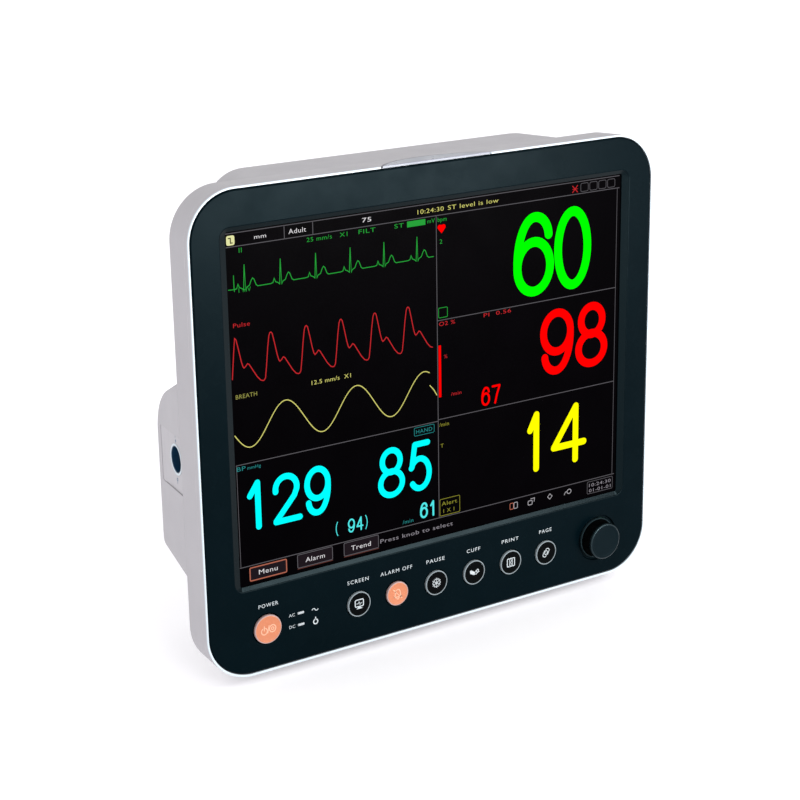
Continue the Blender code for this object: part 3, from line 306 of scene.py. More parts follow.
def smoothed(piece, angle=32.0):
    """Smooth shading that keeps flat faces flat and edges above the angle sharp."""
    piece.data.shade_smooth()
    piece.data.set_sharp_from_angle(angle=math.radians(angle))
    weigh = piece.modifiers.new("Weighted normals", "WEIGHTED_NORMAL")
    weigh.keep_sharp = True
    weigh.weight = 80


def finished(piece, finish, body="monitor", replaces=(), angle=32.0):
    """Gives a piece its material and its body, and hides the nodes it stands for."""
    piece.data.materials.clear()
    piece.data.materials.append(finish)
    smoothed(piece, angle)
    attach(piece, body)
    if replaces:
        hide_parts(*replaces)


# --- materials

def fed(made, tree, **inputs):
    """Sets or links some of a shader node's sockets, by name."""
    for name, value in inputs.items():
        socket = made.inputs[name.replace("_", " ")]
        if isinstance(value, bpy.types.NodeSocket):
            tree.links.new(value, socket)
        else:
            socket.default_value = value
    return made


def node(tree, kind, **inputs):
    """A new shader node, fed."""
    return fed(tree.nodes.new(kind), tree, **inputs)


def noise(tree, place, scale, detail=3.0):
    made = node(tree, "ShaderNodeTexNoise", Vector=place, Scale=scale, Detail=detail, Roughness=0.55)
    return made.outputs["Fac"]


def spread(tree, value, low, high, start=0.3, end=0.7):
    """Maps a noise's middle range onto low to high."""
    return node(
        tree, "ShaderNodeMapRange", Value=value, From_Min=start, From_Max=end, To_Min=low, To_Max=high,
    ).outputs["Result"]


def blend_colours(tree, share, first, second):
    made = tree.nodes.new("ShaderNodeMix")
    made.data_type = "RGBA"
    tree.links.new(share, made.inputs["Factor"])
    for socket, value in ((made.inputs[6], first), (made.inputs[7], second)):
        if isinstance(value, bpy.types.NodeSocket):
            tree.links.new(value, socket)
        else:
            socket.default_value = (*value, 1.0)
    return made.outputs[2]


def edge_mask(tree, width):
    """1 along worn edges, 0 on flat faces."""
    rounded_normal = node(tree, "ShaderNodeBevel", Radius=width * MM)
    rounded_normal.samples = 4
    true_normal = tree.nodes.new("ShaderNodeNewGeometry").outputs["True Normal"]
    match = tree.nodes.new("ShaderNodeVectorMath")
    match.operation = "DOT_PRODUCT"
    tree.links.new(rounded_normal.outputs["Normal"], match.inputs[0])
    tree.links.new(true_normal, match.inputs[1])
    return spread(tree, match.outputs["Value"], 1.0, 0.0, 0.78, 0.99)


def shader_tree(name):
    """A new material, its node tree, its shader and the object's own coordinates."""
    material = bpy.data.materials.new(name)
    material.use_nodes = True
    tree = material.node_tree
    place = tree.nodes.new("ShaderNodeTexCoord").outputs["Object"]
    return material, tree, tree.nodes["Principled BSDF"], place


def surface(name, colour, roughness, metallic=0.0, specular=0.5, mottle=0.05, mottle_scale=30.0,
            smudge=0.06, grain=2200.0, bump=0.25, worn=None, wear_width=0.6, coat=0.0,
            subsurface=0.0, stretch=None, tint=(1.0, 1.0, 1.0)):
    """A procedural finish: mottled colour, smudged gloss, fine grain, and lighter worn edges."""
    material, tree, shader, place = shader_tree(name)
    if stretch:
        place = node(tree, "ShaderNodeMapping", Scale=stretch, Vector=place).outputs["Vector"]
    darker = tuple(c * (1 - mottle) for c in colour)
    lighter = tuple(min(1.0, c * (1 + mottle)) for c in colour)
    shade = blend_colours(tree, spread(tree, noise(tree, place, mottle_scale), 0.0, 1.0), darker, lighter)
    if worn:
        mask = node(tree, "ShaderNodeMath")
        mask.operation = "MULTIPLY"
        patches = spread(tree, noise(tree, place, 180.0), 0.0, 0.8)
        tree.links.new(edge_mask(tree, wear_width), mask.inputs[0])
        tree.links.new(patches, mask.inputs[1])
        shade = blend_colours(tree, mask.outputs[0], shade, worn)
    smudges = noise(tree, place, 55.0, 5.0)
    gloss = spread(tree, smudges, max(0.02, roughness - smudge), min(1.0, roughness + smudge))
    fine = noise(tree, place, grain, 2.0)
    relief = node(tree, "ShaderNodeBump", Strength=bump, Distance=0.1 * MM, Height=fine)
    fed(
        shader, tree, Base_Color=shade, Roughness=gloss, Normal=relief.outputs["Normal"],
        Metallic=metallic, Specular_IOR_Level=specular, Specular_Tint=(*tint, 1.0), Coat_Weight=coat,
        Coat_Roughness=0.15, Subsurface_Weight=subsurface, Subsurface_Radius=(0.004, 0.004, 0.004),
    )
    return material


def glowing(name, colour, strength):
    """Light from the display: a steady colour with a fine dot pattern in it."""
    material, tree, shader, place = shader_tree(name)
    dots = node(tree, "ShaderNodeTexVoronoi", Vector=place, Scale=3400.0).outputs["Distance"]
    fed(
        shader, tree, Emission_Strength=spread(tree, dots, 1.04 * strength, 0.96 * strength, 0.0, 0.6),
        Emission_Color=(*colour, 1.0), Base_Color=(*(c * 0.05 for c in colour), 1.0),
        Roughness=0.5, Specular_IOR_Level=0.0,
    )
    return material


def circuit_board():
    """Green laminate with copper tracks under its lacquer and a scatter of small parts."""
    green, copper, tin = (0.015, 0.11, 0.05), (0.04, 0.23, 0.09), (0.55, 0.52, 0.45)
    material = surface("circuit_board", green, 0.4, coat=0.4, bump=0.1)
    tree = material.node_tree
    place = tree.nodes.new("ShaderNodeTexCoord").outputs["Object"]
    turn = node(tree, "ShaderNodeMapping", Vector=place, Rotation=(QUARTER_TURN, 0.0, 0.0))
    tracks = node(
        tree, "ShaderNodeTexBrick", Vector=turn.outputs["Vector"], Scale=260.0, Mortar_Size=0.045,
    )
    shade = blend_colours(tree, tracks.outputs["Fac"], green, copper)
    pads = node(tree, "ShaderNodeTexVoronoi", Vector=place, Scale=420.0).outputs["Distance"]
    shade = blend_colours(tree, spread(tree, pads, 1.0, 0.0, 0.16, 0.22), shade, tin)
    fed(tree.nodes["Principled BSDF"], tree, Base_Color=shade)
    return material


COOL = (0.6, 0.9, 1.0)
BLACK = surface(
    "bezel_black", (0.0003, 0.0027, 0.0042), 0.27, specular=0.030, mottle=0.10, mottle_scale=14.0,
    smudge=0.04, grain=2600.0, bump=0.16, worn=(0.012, 0.020, 0.024), wear_width=0.4, tint=COOL,
)
SLOPE = surface(
    "window_slope", (0.0004, 0.0022, 0.0032), 0.17, specular=0.10, mottle=0.10, mottle_scale=14.0,
    smudge=0.03, grain=2600.0, bump=0.10, tint=COOL,
)
KNOB_BLACK = surface(
    "knob_black", (0.0012, 0.0045, 0.0065), 0.34, specular=0.05, grain=3000.0, bump=0.12, tint=COOL,
)
KNOB_EDGE = surface(
    "knob_edge", (0.004, 0.008, 0.010), 0.24, specular=0.30, smudge=0.03, grain=3000.0, bump=0.05,
    tint=COOL,
)
KEY_BLACK = surface("key_black", (0.0006, 0.0010, 0.0012), 0.45, specular=0.02, worn=(0.01, 0.01, 0.01))
ROSE_RING = surface("rose_ring", (0.38, 0.26, 0.25), 0.35, mottle=0.04, bump=0.1)
KEY_RING = surface("key_ring", (0.22, 0.26, 0.28), 0.3, metallic=0.1, smudge=0.08, bump=0.1)
# Knob well rim: its own dark grey, made lighter than the bezel by a painted highlight along its crest.
RIM_GREY_AND_HIGHLIGHT = surface("well_rim", (0.012, 0.022, 0.026), 0.3, specular=0.20, bump=0.05, tint=COOL)
TRIM = surface("trim_white", (0.50, 0.57, 0.62), 0.3, mottle=0.015, grain=1800.0, bump=0.05, coat=0.1)
COLLAR = surface("socket_collar", (0.48, 0.55, 0.60), 0.3, mottle=0.02, bump=0.05)
HOUSING = surface(
    "housing_grey", (0.360, 0.347, 0.370), 0.5, mottle=0.02, mottle_scale=18.0, grain=1900.0, bump=0.3,
    worn=(0.52, 0.50, 0.52), wear_width=0.8,
)
PANEL = surface("panel_grey", (0.392, 0.378, 0.402), 0.5, mottle=0.02, grain=1900.0, bump=0.3)
ORANGE = surface(
    "key_orange", (0.45, 0.138, 0.055), 0.42, mottle=0.03, grain=1500.0, bump=0.05, subsurface=0.15,
    worn=(0.55, 0.26, 0.16), wear_width=0.5,
)
GLASS = surface(
    "screen_black", (0.0005, 0.0003, 0.0006), 0.30, specular=0.004, mottle=0.2, smudge=0.05, bump=0.03,
)
RUBBER = surface("rubber", (0.022, 0.022, 0.023), 0.78, mottle=0.15, grain=1300.0, bump=0.5)
LENS = surface(
    "light_lens", (0.235, 0.250, 0.298), 0.3, specular=0.3, mottle=0.03, mottle_scale=60.0, bump=0.02,
)
STEEL = surface(
    "steel", (0.56, 0.57, 0.58), 0.34, metallic=1.0, mottle=0.08, grain=900.0, bump=0.12,
    stretch=(1.0, 1.0, 14.0),
)
BRASS = surface("brass", (0.72, 0.52, 0.24), 0.28, metallic=1.0, mottle=0.12, bump=0.1)
GREY = surface("grey_plastic", (0.16, 0.165, 0.17), 0.52, mottle=0.06, grain=1900.0, bump=0.35,
               worn=(0.28, 0.285, 0.29))
BLUE = surface("socket_blue", (0.002, 0.030, 0.070), 0.38, mottle=0.08, bump=0.12)
INLET = surface("inlet_black", (0.012, 0.012, 0.013), 0.45, mottle=0.1, bump=0.3, worn=(0.06, 0.06, 0.06))
PAPER = surface("paper", (0.86, 0.86, 0.83), 0.85, mottle=0.03, grain=1200.0, bump=0.2,
                stretch=(1.0, 1.0, 0.2))
CASE = surface("module_case", (0.42, 0.44, 0.46), 0.42, metallic=0.9, mottle=0.1, grain=700.0, bump=0.2)
BOARD = circuit_board()
PRINT = surface("white_print", (0.40, 0.44, 0.46), 0.5, mottle=0.05, mottle_scale=400.0, bump=0.1)
LIGHT_PIPE = surface("light_pipe", (0.34, 0.37, 0.39), 0.25, subsurface=0.3, mottle=0.05, bump=0.05)
DARK_PRINT = surface("blue_print", (0.03, 0.10, 0.18), 0.5, mottle=0.08, mottle_scale=400.0, bump=0.1)
FAINT_PRINT = surface("pale_print", (0.60, 0.31, 0.20), 0.5, mottle=0.05, mottle_scale=400.0, bump=0.1)


# --- flat marks

def flat_place(matrix):
    """Marks on a plane: u to the right and v down, in the frame's millimetres, lifted out of it."""
    return lambda u, v, lift: matrix @ (Vector((u, -v, lift)) * MM)


def screen_place(depth):
    """The screen's plane, u and v from the bezel's centre."""
    return lambda u, v, lift: at(u, depth - lift, -v)


class Marks:
    """Flat marks of one colour, gathered into one thin piece. Coordinates are u right and v down."""

    def __init__(self, place, thick=0.05):
        self.work = bmesh.new()
        self.place = place
        self.thick = thick

    def shape(self, points, faces):
        """A flat mesh given a thickness."""
        top = [self.work.verts.new(self.place(u, v, self.thick)) for u, v in points]
        bottom = [self.work.verts.new(self.place(u, v, 0.0)) for u, v in points]
        edges = {}
        for face in faces:
            self.work.faces.new([top[i] for i in face])
            self.work.faces.new([bottom[i] for i in reversed(face)])
            for i, j in zip(face, face[1:] + face[:1]):
                if (j, i) in edges:
                    del edges[(j, i)]
                else:
                    edges[(i, j)] = True
        for i, j in edges:
            self.work.faces.new((top[j], top[i], bottom[i], bottom[j]))

    def fill(self, outline):
        self.shape(outline, [list(range(len(outline)))])

    def line(self, points, width, closed=False):
        """A stroke with round ends."""
        half = width / 2
        spine = [Vector(p) for p in points]
        count = len(spine)
        left, right = [], []
        for i, here in enumerate(spine):
            before = spine[i - 1] if closed or i else None
            after = spine[(i + 1) % count] if closed or i < count - 1 else None
            into = (here - before).normalized() if before is not None else (after - here).normalized()
            out = (after - here).normalized() if after is not None else into
            along = (into + out).normalized() if (into + out).length > 0.05 else into
            side = Vector((-along.y, along.x))
            reach = half / max(0.5, side.dot(Vector((-into.y, into.x))))
            left.append(tuple(here + side * reach))
            right.append(tuple(here - side * reach))
        outline = left + right
        faces = [[i, i + 1, count + i + 1, count + i] for i in range(count - 1)]
        ends = [(spine[-1], spine[-2], count - 1, 2 * count - 1), (spine[0], spine[1], count, 0)]
        if closed:
            faces.append([count - 1, 0, count, 2 * count - 1])
            ends = []
        for tip, neighbour, first, last in ends:
            out = (tip - neighbour).normalized()
            start = math.atan2(out.y, out.x) + QUARTER_TURN
            cap = []
            for step in range(1, 8):
                angle = start - step / 8 * math.pi
                cap.append(len(outline))
                outline.append((tip.x + half * math.cos(angle), tip.y + half * math.sin(angle)))
            faces.append([first] + cap + [last])
        self.shape(outline, faces)

    def frame_line(self, left, top, right, bottom, width, radius=0.8):
        size = (right - left, bottom - top)
        centre = ((left + right) / 2, (top + bottom) / 2)
        self.line(rounded(*size, radius, centre, 4), width, closed=True)

    def words(self, text, left, bottom, height, right, spacing=1.08, weight=-0.004):
        """Lettering with its baseline at bottom, fitted between left and right."""
        curve = bpy.data.curves.new("words", "FONT")
        curve.body = text
        curve.space_character = spacing
        curve.offset = weight
        curve.resolution_u = 3
        drawn = bpy.data.objects.new("words", curve)
        bpy.context.scene.collection.objects.link(drawn)
        bpy.context.view_layer.update()
        graph = bpy.context.evaluated_depsgraph_get()
        mesh = bpy.data.meshes.new_from_object(drawn.evaluated_get(graph))
        points = [(v.co.x, v.co.y) for v in mesh.vertices]
        low, high = min(x for x, _ in points), max(x for x, _ in points)
        across, tall = (right - left) / (high - low), height / CAP_HEIGHT
        placed = [(left + (x - low) * across, bottom - y * tall) for x, y in points]
        self.shape(placed, [list(face.vertices)[::-1] for face in mesh.polygons])
        bpy.data.objects.remove(drawn, do_unlink=True)
        bpy.data.meshes.remove(mesh)

    def done(self, name, finish, body="monitor"):
        bmesh.ops.recalc_face_normals(self.work, faces=self.work.faces)
        piece = add_object(name, self.work)
        piece.data.materials.append(finish)
        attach(piece, body)


CAP_HEIGHT = 0.73


# --- digits

# Strokes in a box of width 1 and height 1, u right and v down, and whether each is closed
DIGITS = {
    "0": [(arc((0.5, 0.5), (0.5, 0.5), *ROUND, 44), True)],
    "1": [([(0.86, 0.0), (0.86, 1.0)], False), ([(0.86, 0.0), (0.06, 0.27)], False)],
    "2": [
        (arc((0.48, 0.27), (0.43, 0.27), 172, 372, 20) + [(0.80, 0.47), (0.04, 0.985)], False),
        ([(0.04, 1.0), (1.0, 1.0)], False),
    ],
    "4": [
        ([(0.72, 0.0), (0.72, 1.0)], False), ([(0.72, 0.0), (0.0, 0.70)], False),
        ([(0.0, 0.70), (1.0, 0.70)], False),
    ],
    "5": [
        ([(0.90, 0.0), (0.22, 0.0)], False), ([(0.22, 0.0), (0.06, 0.50)], False),
        (arc((0.47, 0.665), (0.50, 0.335), 502, 207, 30), False),
    ],
    "6": [
        (arc((0.51, 0.665), (0.49, 0.335), *ROUND, 36), True),
        (arc((0.55, 0.28), (0.40, 0.28), 355, 270, 10)
         + arc((0.53, 0.60), (0.51, 0.60), 268, 178, 16), False),
    ],
    "7": [([(0.0, 0.0), (1.0, 0.0)], False), ([(1.0, 0.0), (0.62, 0.5), (0.36, 1.0)], False)],
    "8": [
        (arc((0.5, 0.245), (0.41, 0.245), *ROUND, 36), True),
        (arc((0.5, 0.735), (0.5, 0.265), *ROUND, 36), True),
    ],
}
DIGITS["9"] = [([(1 - u, 1 - v) for u, v in points], closed) for points, closed in DIGITS["6"]]


def draw_digit(marks, digit, left, top, right, bottom, width):
    """A digit whose ink fills the box."""
    half = width / 2
    for points, closed in DIGITS[digit]:
        marks.line([
            (left + half + u * (right - left - width), top + half + v * (bottom - top - width))
            for u, v in points
        ], width, closed)


# --- front

def lens_outline(grow):
    """Crescent seen from above, (x, depth): straight at the front, one long arc behind."""
    half, front_edge, rear, steps = 41.0, 0.3, 19.0, 40
    rise = rear - front_edge
    radius = (half ** 2 + rise ** 2) / (2 * rise)
    centre = rear - radius
    reach = radius + grow
    end = math.acos((front_edge - grow - centre) / reach)
    turns = [end - 2 * end * i / steps for i in range(steps + 1)]
    return [(reach * math.sin(turn), centre + reach * math.cos(turn)) for turn in turns]


def drafted(x, height, depth):
    """A place for upward lofts that follow the falling top of the band."""
    return upward(x, height - BAND_DRAFT * (depth - BAND_FRONT), depth)


def lens_tools():
    """Room for the alarm light and for its stem, in what lies round them."""
    room = lens_outline(LENS_CLEAR)
    space = loft("tool", [(LENS_LOW - 0.08, room), (170.0, room)], drafted)
    stem = block("tool", [side + 0.6 for side in STEM_SIZE], spot(*STEM_SPOT), bevel=0.0)
    return space, stem


def key_radius(key):
    return (POWER_D if key == "power_key" else KEY_D) / 2


def window_slope():
    """Satin moulding whose sloped faces lead from the bezel down to the screen."""
    clear, front, back = 0.05, 0.16, 2.7
    outer = grown(WINDOW, WINDOW_R, -clear, WINDOW_MIDDLE)
    inner = rounded(SCREEN_W + 1.5, SCREEN_H + 1.5, 1.5, (SCREEN_X, SCREEN_Z + 0.2))
    wide = grown(WINDOW, WINDOW_R, 2.0, WINDOW_MIDDLE)
    body = loft("window_slope", [(front, outer), (back, outer)])
    carved(body, loft("tool", [(-0.6, wide), (2.2, inner), (5.0, inner)]))
    finished(body, SLOPE)


def front_bezel():
    """Black front moulding: a window with a soft edge, holes for the keys, the lights and the knob."""
    edge, plate_back, step_in, skirt = 1.3, 2.6, 5.0, 2.2
    sections = [
        (depth, grown(FACE, FACE_R, -inset, FACE_MIDDLE, 24)) for depth, inset in fillet(edge)
    ]
    sections.append((plate_back, grown(FACE, FACE_R, 0.0, FACE_MIDDLE, 24)))
    for depth in (plate_back + 0.01, 12.0):
        sections.append((depth, rounded(BEZEL_W - step_in, BEZEL_H - step_in, BEZEL_R - 2.5, steps=24)))
    body = loft("bezel", sections)
    hollow_w, hollow_h = (side - step_in - 2 * skirt for side in (BEZEL_W, BEZEL_H))
    hollow = loft("tool", [
        (depth, rounded(hollow_w, hollow_h, BEZEL_R - 5.0)) for depth in (plate_back, 13.0)
    ])
    mouth = [(-1.0, 2.6), (-0.02, 0.9), (0.03, 0.35), (0.14, 0.0), (5.0, 0.0)]
    window = [(depth, grown(WINDOW, WINDOW_R, out, WINDOW_MIDDLE)) for depth, out in mouth]
    holes = [
        hole_tool(key_radius(key) + 0.35, 0.6, spot(x, 0.0, KEY_Z, "front")) for key, x in KEYS.items()
    ]
    holes.append(hole_tool(WELL_R, 0.15, spot(KNOB_X, 0.0, KNOB_Z, "front")))
    groove = turned("tool", [
        (WELL_R - 0.5, 0.5), (WELL_R + 2.5, 0.5), (WELL_R + 1.9, -0.2), (WELL_R + 1.6, -1.1),
        (WELL_R + 1.2, -1.5), (WELL_R - 0.5, -1.5), (WELL_R - 0.5, 0.5),
    ], spot(KNOB_X, 0.0, KNOB_Z, "front"))
    for z in LIGHT_ZS:
        size = (LIGHT_SIZE[0] + 0.3, LIGHT_SIZE[1] + 0.3)
        holes.append(mouth_tool(size, 0.85, (LIGHT_X, z), 0.0, 6.0, 0.15))
    gap = block("tool", (74.0, 12.0, 12.0), spot(0.0, 10.4, BEZEL_H / 2 - 4.0), bevel=0.0)
    carved(body, hollow)
    carved(body, loft("tool", window), merged("tools", holes), groove, gap)
    finished(body, BLACK, replaces=["front_bezel"])


def trim_ring():
    """Bright lip round the bezel, and the grey land that carries it back to the frame."""
    clear, lip, land = 0.3, 2.8, 1.1
    full = rounded(FRAME_W, FRAME_H, FRAME_R, steps=24)
    sections = [
        (0.2 + depth, grown((FRAME_W, FRAME_H), FRAME_R, -inset, steps=24))
        for depth, inset in fillet(0.5)
    ]
    body = loft("edge_trim", sections + [(land, full)])
    inside, under = (grown(FACE, FACE_R, by, FACE_MIDDLE, 24) for by in (clear, -lip))
    carved(body, loft("tool", [(-1.0, inside), (6.0, inside)]), *lens_tools())
    finished(body, TRIM, replaces=["trim_ring"])
    flange = loft("edge_land", [(land, full), (5.25, full)])
    carved(flange, loft("tool", [(0.0, inside), (2.9, inside), (2.91, under), (6.0, under)]), *lens_tools())
    finished(flange, HOUSING)


def mid_frame():
    """Light grey band with a soft rear edge; its top and bottom draft in towards the back."""
    back_edge = 0.5
    sections = [(BAND_FRONT, rounded(FRAME_W, FRAME_H, FRAME_R, steps=24))]
    for height, inset in fillet(back_edge)[::-1]:
        sections.append((FRAME_BACK + 0.35 - height, rounded(
            FRAME_W - 0.6 - 2 * inset, FRAME_H - 2.6 - 2 * inset, FRAME_R - inset, steps=24)))
    body = loft("frame_band", sections)
    hollow = loft("tool", [
        (4.0, rounded(FRAME_W - 5.6, FRAME_H - 6.2, FRAME_R - 2.8)),
        (FRAME_BACK - WALL, rounded(FRAME_W - 5.6, FRAME_H - 7.4, FRAME_R - 2.8)),
    ])
    opening = loft("tool", [(depth, rounded(270.0, 292.0, 20.0)) for depth in (20.0, 30.0)])
    carved(body, hollow)
    carved(body, opening, *lens_tools())
    finished(body, HOUSING, replaces=["mid_frame"])


def alarm_light():
    """Pale crescent with a soft top edge, on the stem that brings the light up to it."""
    high, edge = FRAME_H / 2, 0.4
    sections = [(LENS_LOW, lens_outline(0.0))]
    sections += [(high - height, lens_outline(-inset)) for height, inset in fillet(edge)[::-1]]
    lens = loft("alarm_light", sections, drafted)
    joined(lens, block("stem", STEM_SIZE, spot(*STEM_SPOT), bevel=0.0))
    finished(lens, LENS, replaces=["alarm_lens"])


def key_cap(key, x):
    """A soft-edged cap, with its flange and stub behind the bezel, its ring, and a black sleeve that paints
    the shade in the gap round the cap.
    """
    orange = key in ORANGE_KEYS
    place = spot(x, 0.0, KEY_Z, "front")
    radius = key_radius(key) - (0.45 if orange else 0.1)
    edge = 0.9 if orange else 0.4
    crown = [(radius - inset, KEY_PROUD - height) for height, inset in fillet(edge)]
    if orange:
        crown = [(radius - 1.9, KEY_PROUD - 0.14), (radius - 1.5, KEY_PROUD)] + crown
    else:
        crown = [(radius - 1.25, KEY_PROUD - 0.35), (radius - 1.2, KEY_PROUD - 0.3)] + crown
    cap = turned(key + "_cap", [(0.0, crown[0][1])] + crown + [
        (radius, -2.9), (radius + 1.4, -2.9), (radius + 1.4, -4.2), (2.5, -4.2), (2.5, -6.0), (0.0, -6.0),
    ], place)
    finished(cap, ORANGE if orange else KEY_BLACK, key, [key])
    outer, top = radius + 0.02, KEY_PROUD + (0.05 if orange else 0.12)
    inner = radius - (0.85 if orange else 0.8)
    ring = turned(key + "_ring", [
        (inner, KEY_PROUD - 0.32), (inner + 0.05, top - 0.25), (inner + 0.3, top), (outer - 0.35, top),
        (outer, top - 0.35), (outer, -0.4), (inner, -0.4), (inner, KEY_PROUD - 0.32),
    ], place)
    finished(ring, ROSE_RING if orange else KEY_RING, key)
    # Painted shade: a black sleeve over the cap's side, so the gap round the cap shows dark.
    inside, outside, foot = radius - 0.2, radius + 0.03, -2.8
    shade_sleeve = turned(key + "_sleeve", [
        (inside, -0.45), (outside, -0.45), (outside, foot + 0.1), (radius + 1.3, foot + 0.1),
        (radius + 1.3, foot), (inside, foot), (inside, -0.45),
    ], place)
    finished(shade_sleeve, KEY_BLACK, key)


def key_marks():
    """Pictograms on the key caps; their drawings are scaled to the two kinds of cap."""
    for key, x in KEYS.items():
        orange = key in ORANGE_KEYS
        lift, scale = (KEY_PROUD - 0.13, 0.97) if orange else (KEY_PROUD - 0.34, 0.86)
        place = spot(x, -lift, KEY_Z, "front") @ Matrix.Diagonal((scale, scale, 1.0, 1.0))
        marks = Marks(flat_place(place), 0.04)
        PICTOGRAMS[key](marks)
        marks.done(key + "_mark", FAINT_PRINT if orange else PRINT, key)


def power_mark(m):
    m.line(arc((-3.1, 0.9), (2.2, 2.3), -60, 240, 24), 0.7)
    m.line([(-3.1, -2.6), (-3.1, 0.4)], 0.7)
    m.line([(-0.6, 2.6), (0.6, -2.6)], 0.6)
    m.line(arc((3.2, 0.0), (2.4, 2.5), *ROUND, 28), 0.7, closed=True)
    m.line(arc((3.2, 0.0), (0.9, 0.95), *ROUND, 16), 0.6, closed=True)


def screen_mark(m):
    m.line(rounded(7.4, 5.6, 1.0, (0.0, -0.9), 4), 0.8, closed=True)
    m.line([(-2.4, -0.6), (-0.9, -0.6), (-0.2, -2.0), (0.6, 0.6), (1.2, -0.6), (2.3, -0.6)], 0.5)
    m.fill([(-1.0, 2.2), (1.0, 2.2), (1.5, 3.2), (-1.5, 3.2)])
    m.line([(-2.2, 3.5), (2.2, 3.5)], 0.7)


def bell_mark(m):
    bell = [(-3.1, 2.4), (-2.3, 1.4), (-2.0, -0.8)] + arc((0.0, -0.8), (2.0, 2.3), 180, 360, 12)
    m.line(bell + [(2.3, 1.4), (3.1, 2.4)], 0.7)
    m.line([(-3.1, 2.4), (3.1, 2.4)], 0.7)
    m.line(arc((0.0, 2.9), (1.0, 1.0), 20, 160, 8), 0.7)
    m.line([(-3.4, -3.2), (3.4, 3.8)], 0.6)


def snow_mark(m):
    m.line(arc((0.0, 0.0), (0.7, 0.7), *ROUND, 12), 0.7, closed=True)
    for turn in range(6):
        angle = math.radians(60 * turn)
        out = Vector((math.sin(angle), math.cos(angle)))
        side = Vector((out.y, -out.x))
        m.line([tuple(out * 1.3), tuple(out * 4.0)], 0.55)
        for sign in (-1, 1):
            m.line([tuple(out * 2.2), tuple(out * 3.4 + side * sign * 1.4)], 0.55)


def cuff_mark(m):
    m.fill([(-4.4, -1.6), (-3.4, -2.5), (0.6, -0.2), (0.9, 1.5), (-0.2, 2.2), (-3.9, 0.5)])
    m.line([(0.6, 1.2), (1.7, 1.9), (2.4, 0.9)], 0.6)
    m.line(arc((3.1, -0.6), (0.9, 1.4), 20, 372, 20), 0.7, closed=True)
    m.line([(1.1, -0.3), (1.9, -1.4)], 0.6)


def printer_mark(m):
    m.line(rounded(7.2, 6.8, 0.7, (0.0, 0.0), 4), 0.75, closed=True)
    m.line([(-1.3, -3.4), (-1.3, 3.4)], 0.5)
    m.line([(1.4, -3.4), (1.4, 3.4)], 0.5)
    m.line([(0.0, 3.0), (0.4, 1.2), (-0.5, 0.2), (0.5, -1.0), (0.0, -2.8)], 0.5)


def pages_mark(m):
    for shift in ((-0.9, 0.8), (0.9, -0.8)):
        page = []
        for u, v in rounded(3.6, 5.6, 1.4, (0.0, 0.0), 5):
            page.append((shift[0] + u * 0.87 - v * 0.42, shift[1] + u * 0.42 + v * 0.87))
        m.line(page, 0.6, closed=True)


PICTOGRAMS = {
    "power_key": power_mark, "display_key": screen_mark, "alarm_reset_key": bell_mark,
    "freeze_key": snow_mark, "nibp_key": cuff_mark, "record_key": printer_mark, "view_key": pages_mark,
}


def bezel_legends():
    """Generic words above the keys, and marks on both sides of the two power lights."""
    marks = Marks(screen_place(0.0), 0.03)
    base, tall = 114.0, 2.7
    words = {
        "power_key": ("POWER", 7.2), "display_key": ("SCREEN", 8.2), "alarm_reset_key": ("ALARM OFF", 12.6),
        "freeze_key": ("PAUSE", 7.4), "nibp_key": ("CUFF", 5.6), "record_key": ("PRINT", 7.2),
        "view_key": ("PAGE", 5.4),
    }
    for key, (word, half) in words.items():
        x = KEYS[key] + (1.3 if key == "power_key" else 0.0)
        marks.words(word, x - half, base, tall, x + half, spacing=1.22, weight=0.0)
    for name, z in zip(("AC", "DC"), LIGHT_ZS):
        marks.words(name, -119.4, -z + 1.0, 2.2, -115.0)
    swing = arc((-100.9, 124.6), (1.1, 0.8), 180, 360, 8) + arc((-98.7, 124.6), (1.1, 0.8), 180, 0, 8)
    marks.line(swing, 0.5)
    marks.line(arc((-99.6, 133.2), (1.6, 1.6), *ROUND, 20), 0.75, closed=True)
    marks.line([(-99.6, 130.2), (-99.6, 131.6)], 0.75)
    marks.done("bezel_legends", PRINT)


def power_lights():
    """Two clear windows, joined behind the bezel."""
    bottom, top = min(LIGHT_ZS), max(LIGHT_ZS)
    pipe = block("power_lights", (LIGHT_SIZE[0], 2.0, top - bottom + 4.0),
                 spot(LIGHT_X, 5.0, (top + bottom) / 2), 0.2)
    for z in LIGHT_ZS:
        joined(pipe, block("window", (LIGHT_SIZE[0], 5.0, LIGHT_SIZE[1]), spot(LIGHT_X, 2.35, z), 0.6, 4))
    finished(pipe, LIGHT_PIPE, replaces=["light_pipe"])


def knob_well():
    """Black cup behind the knob, and its thin rim, which stands inside a groove of the bezel; the rim's
    lighter grey is partly a painted highlight along its crest.
    """
    place = spot(KNOB_X, 0.0, KNOB_Z, "front")
    crest = WELL_R - 0.75
    cup = turned("knob_well_cup", [
        (crest - 0.45, -0.2), (crest - 0.45, -3.0), (4.9, -3.0), (4.9, -4.4), (crest - 0.12, -4.4),
        (crest - 0.12, -0.2), (crest - 0.45, -0.2),
    ], place)
    finished(cup, KEY_BLACK, replaces=["knob_well"])
    rim = turned("knob_well_rim", [
        (crest - 0.45, -0.15), (crest - 0.35, 0.2), (crest - 0.12, 0.4), (crest + 0.12, 0.4),
        (crest + 0.3, 0.2), (crest + 0.38, -0.15), (crest + 0.38, -1.4), (crest - 0.1, -1.4),
        (crest - 0.1, -0.15), (crest - 0.45, -0.15),
    ], place)
    finished(rim, RIM_GREY_AND_HIGHLIGHT)


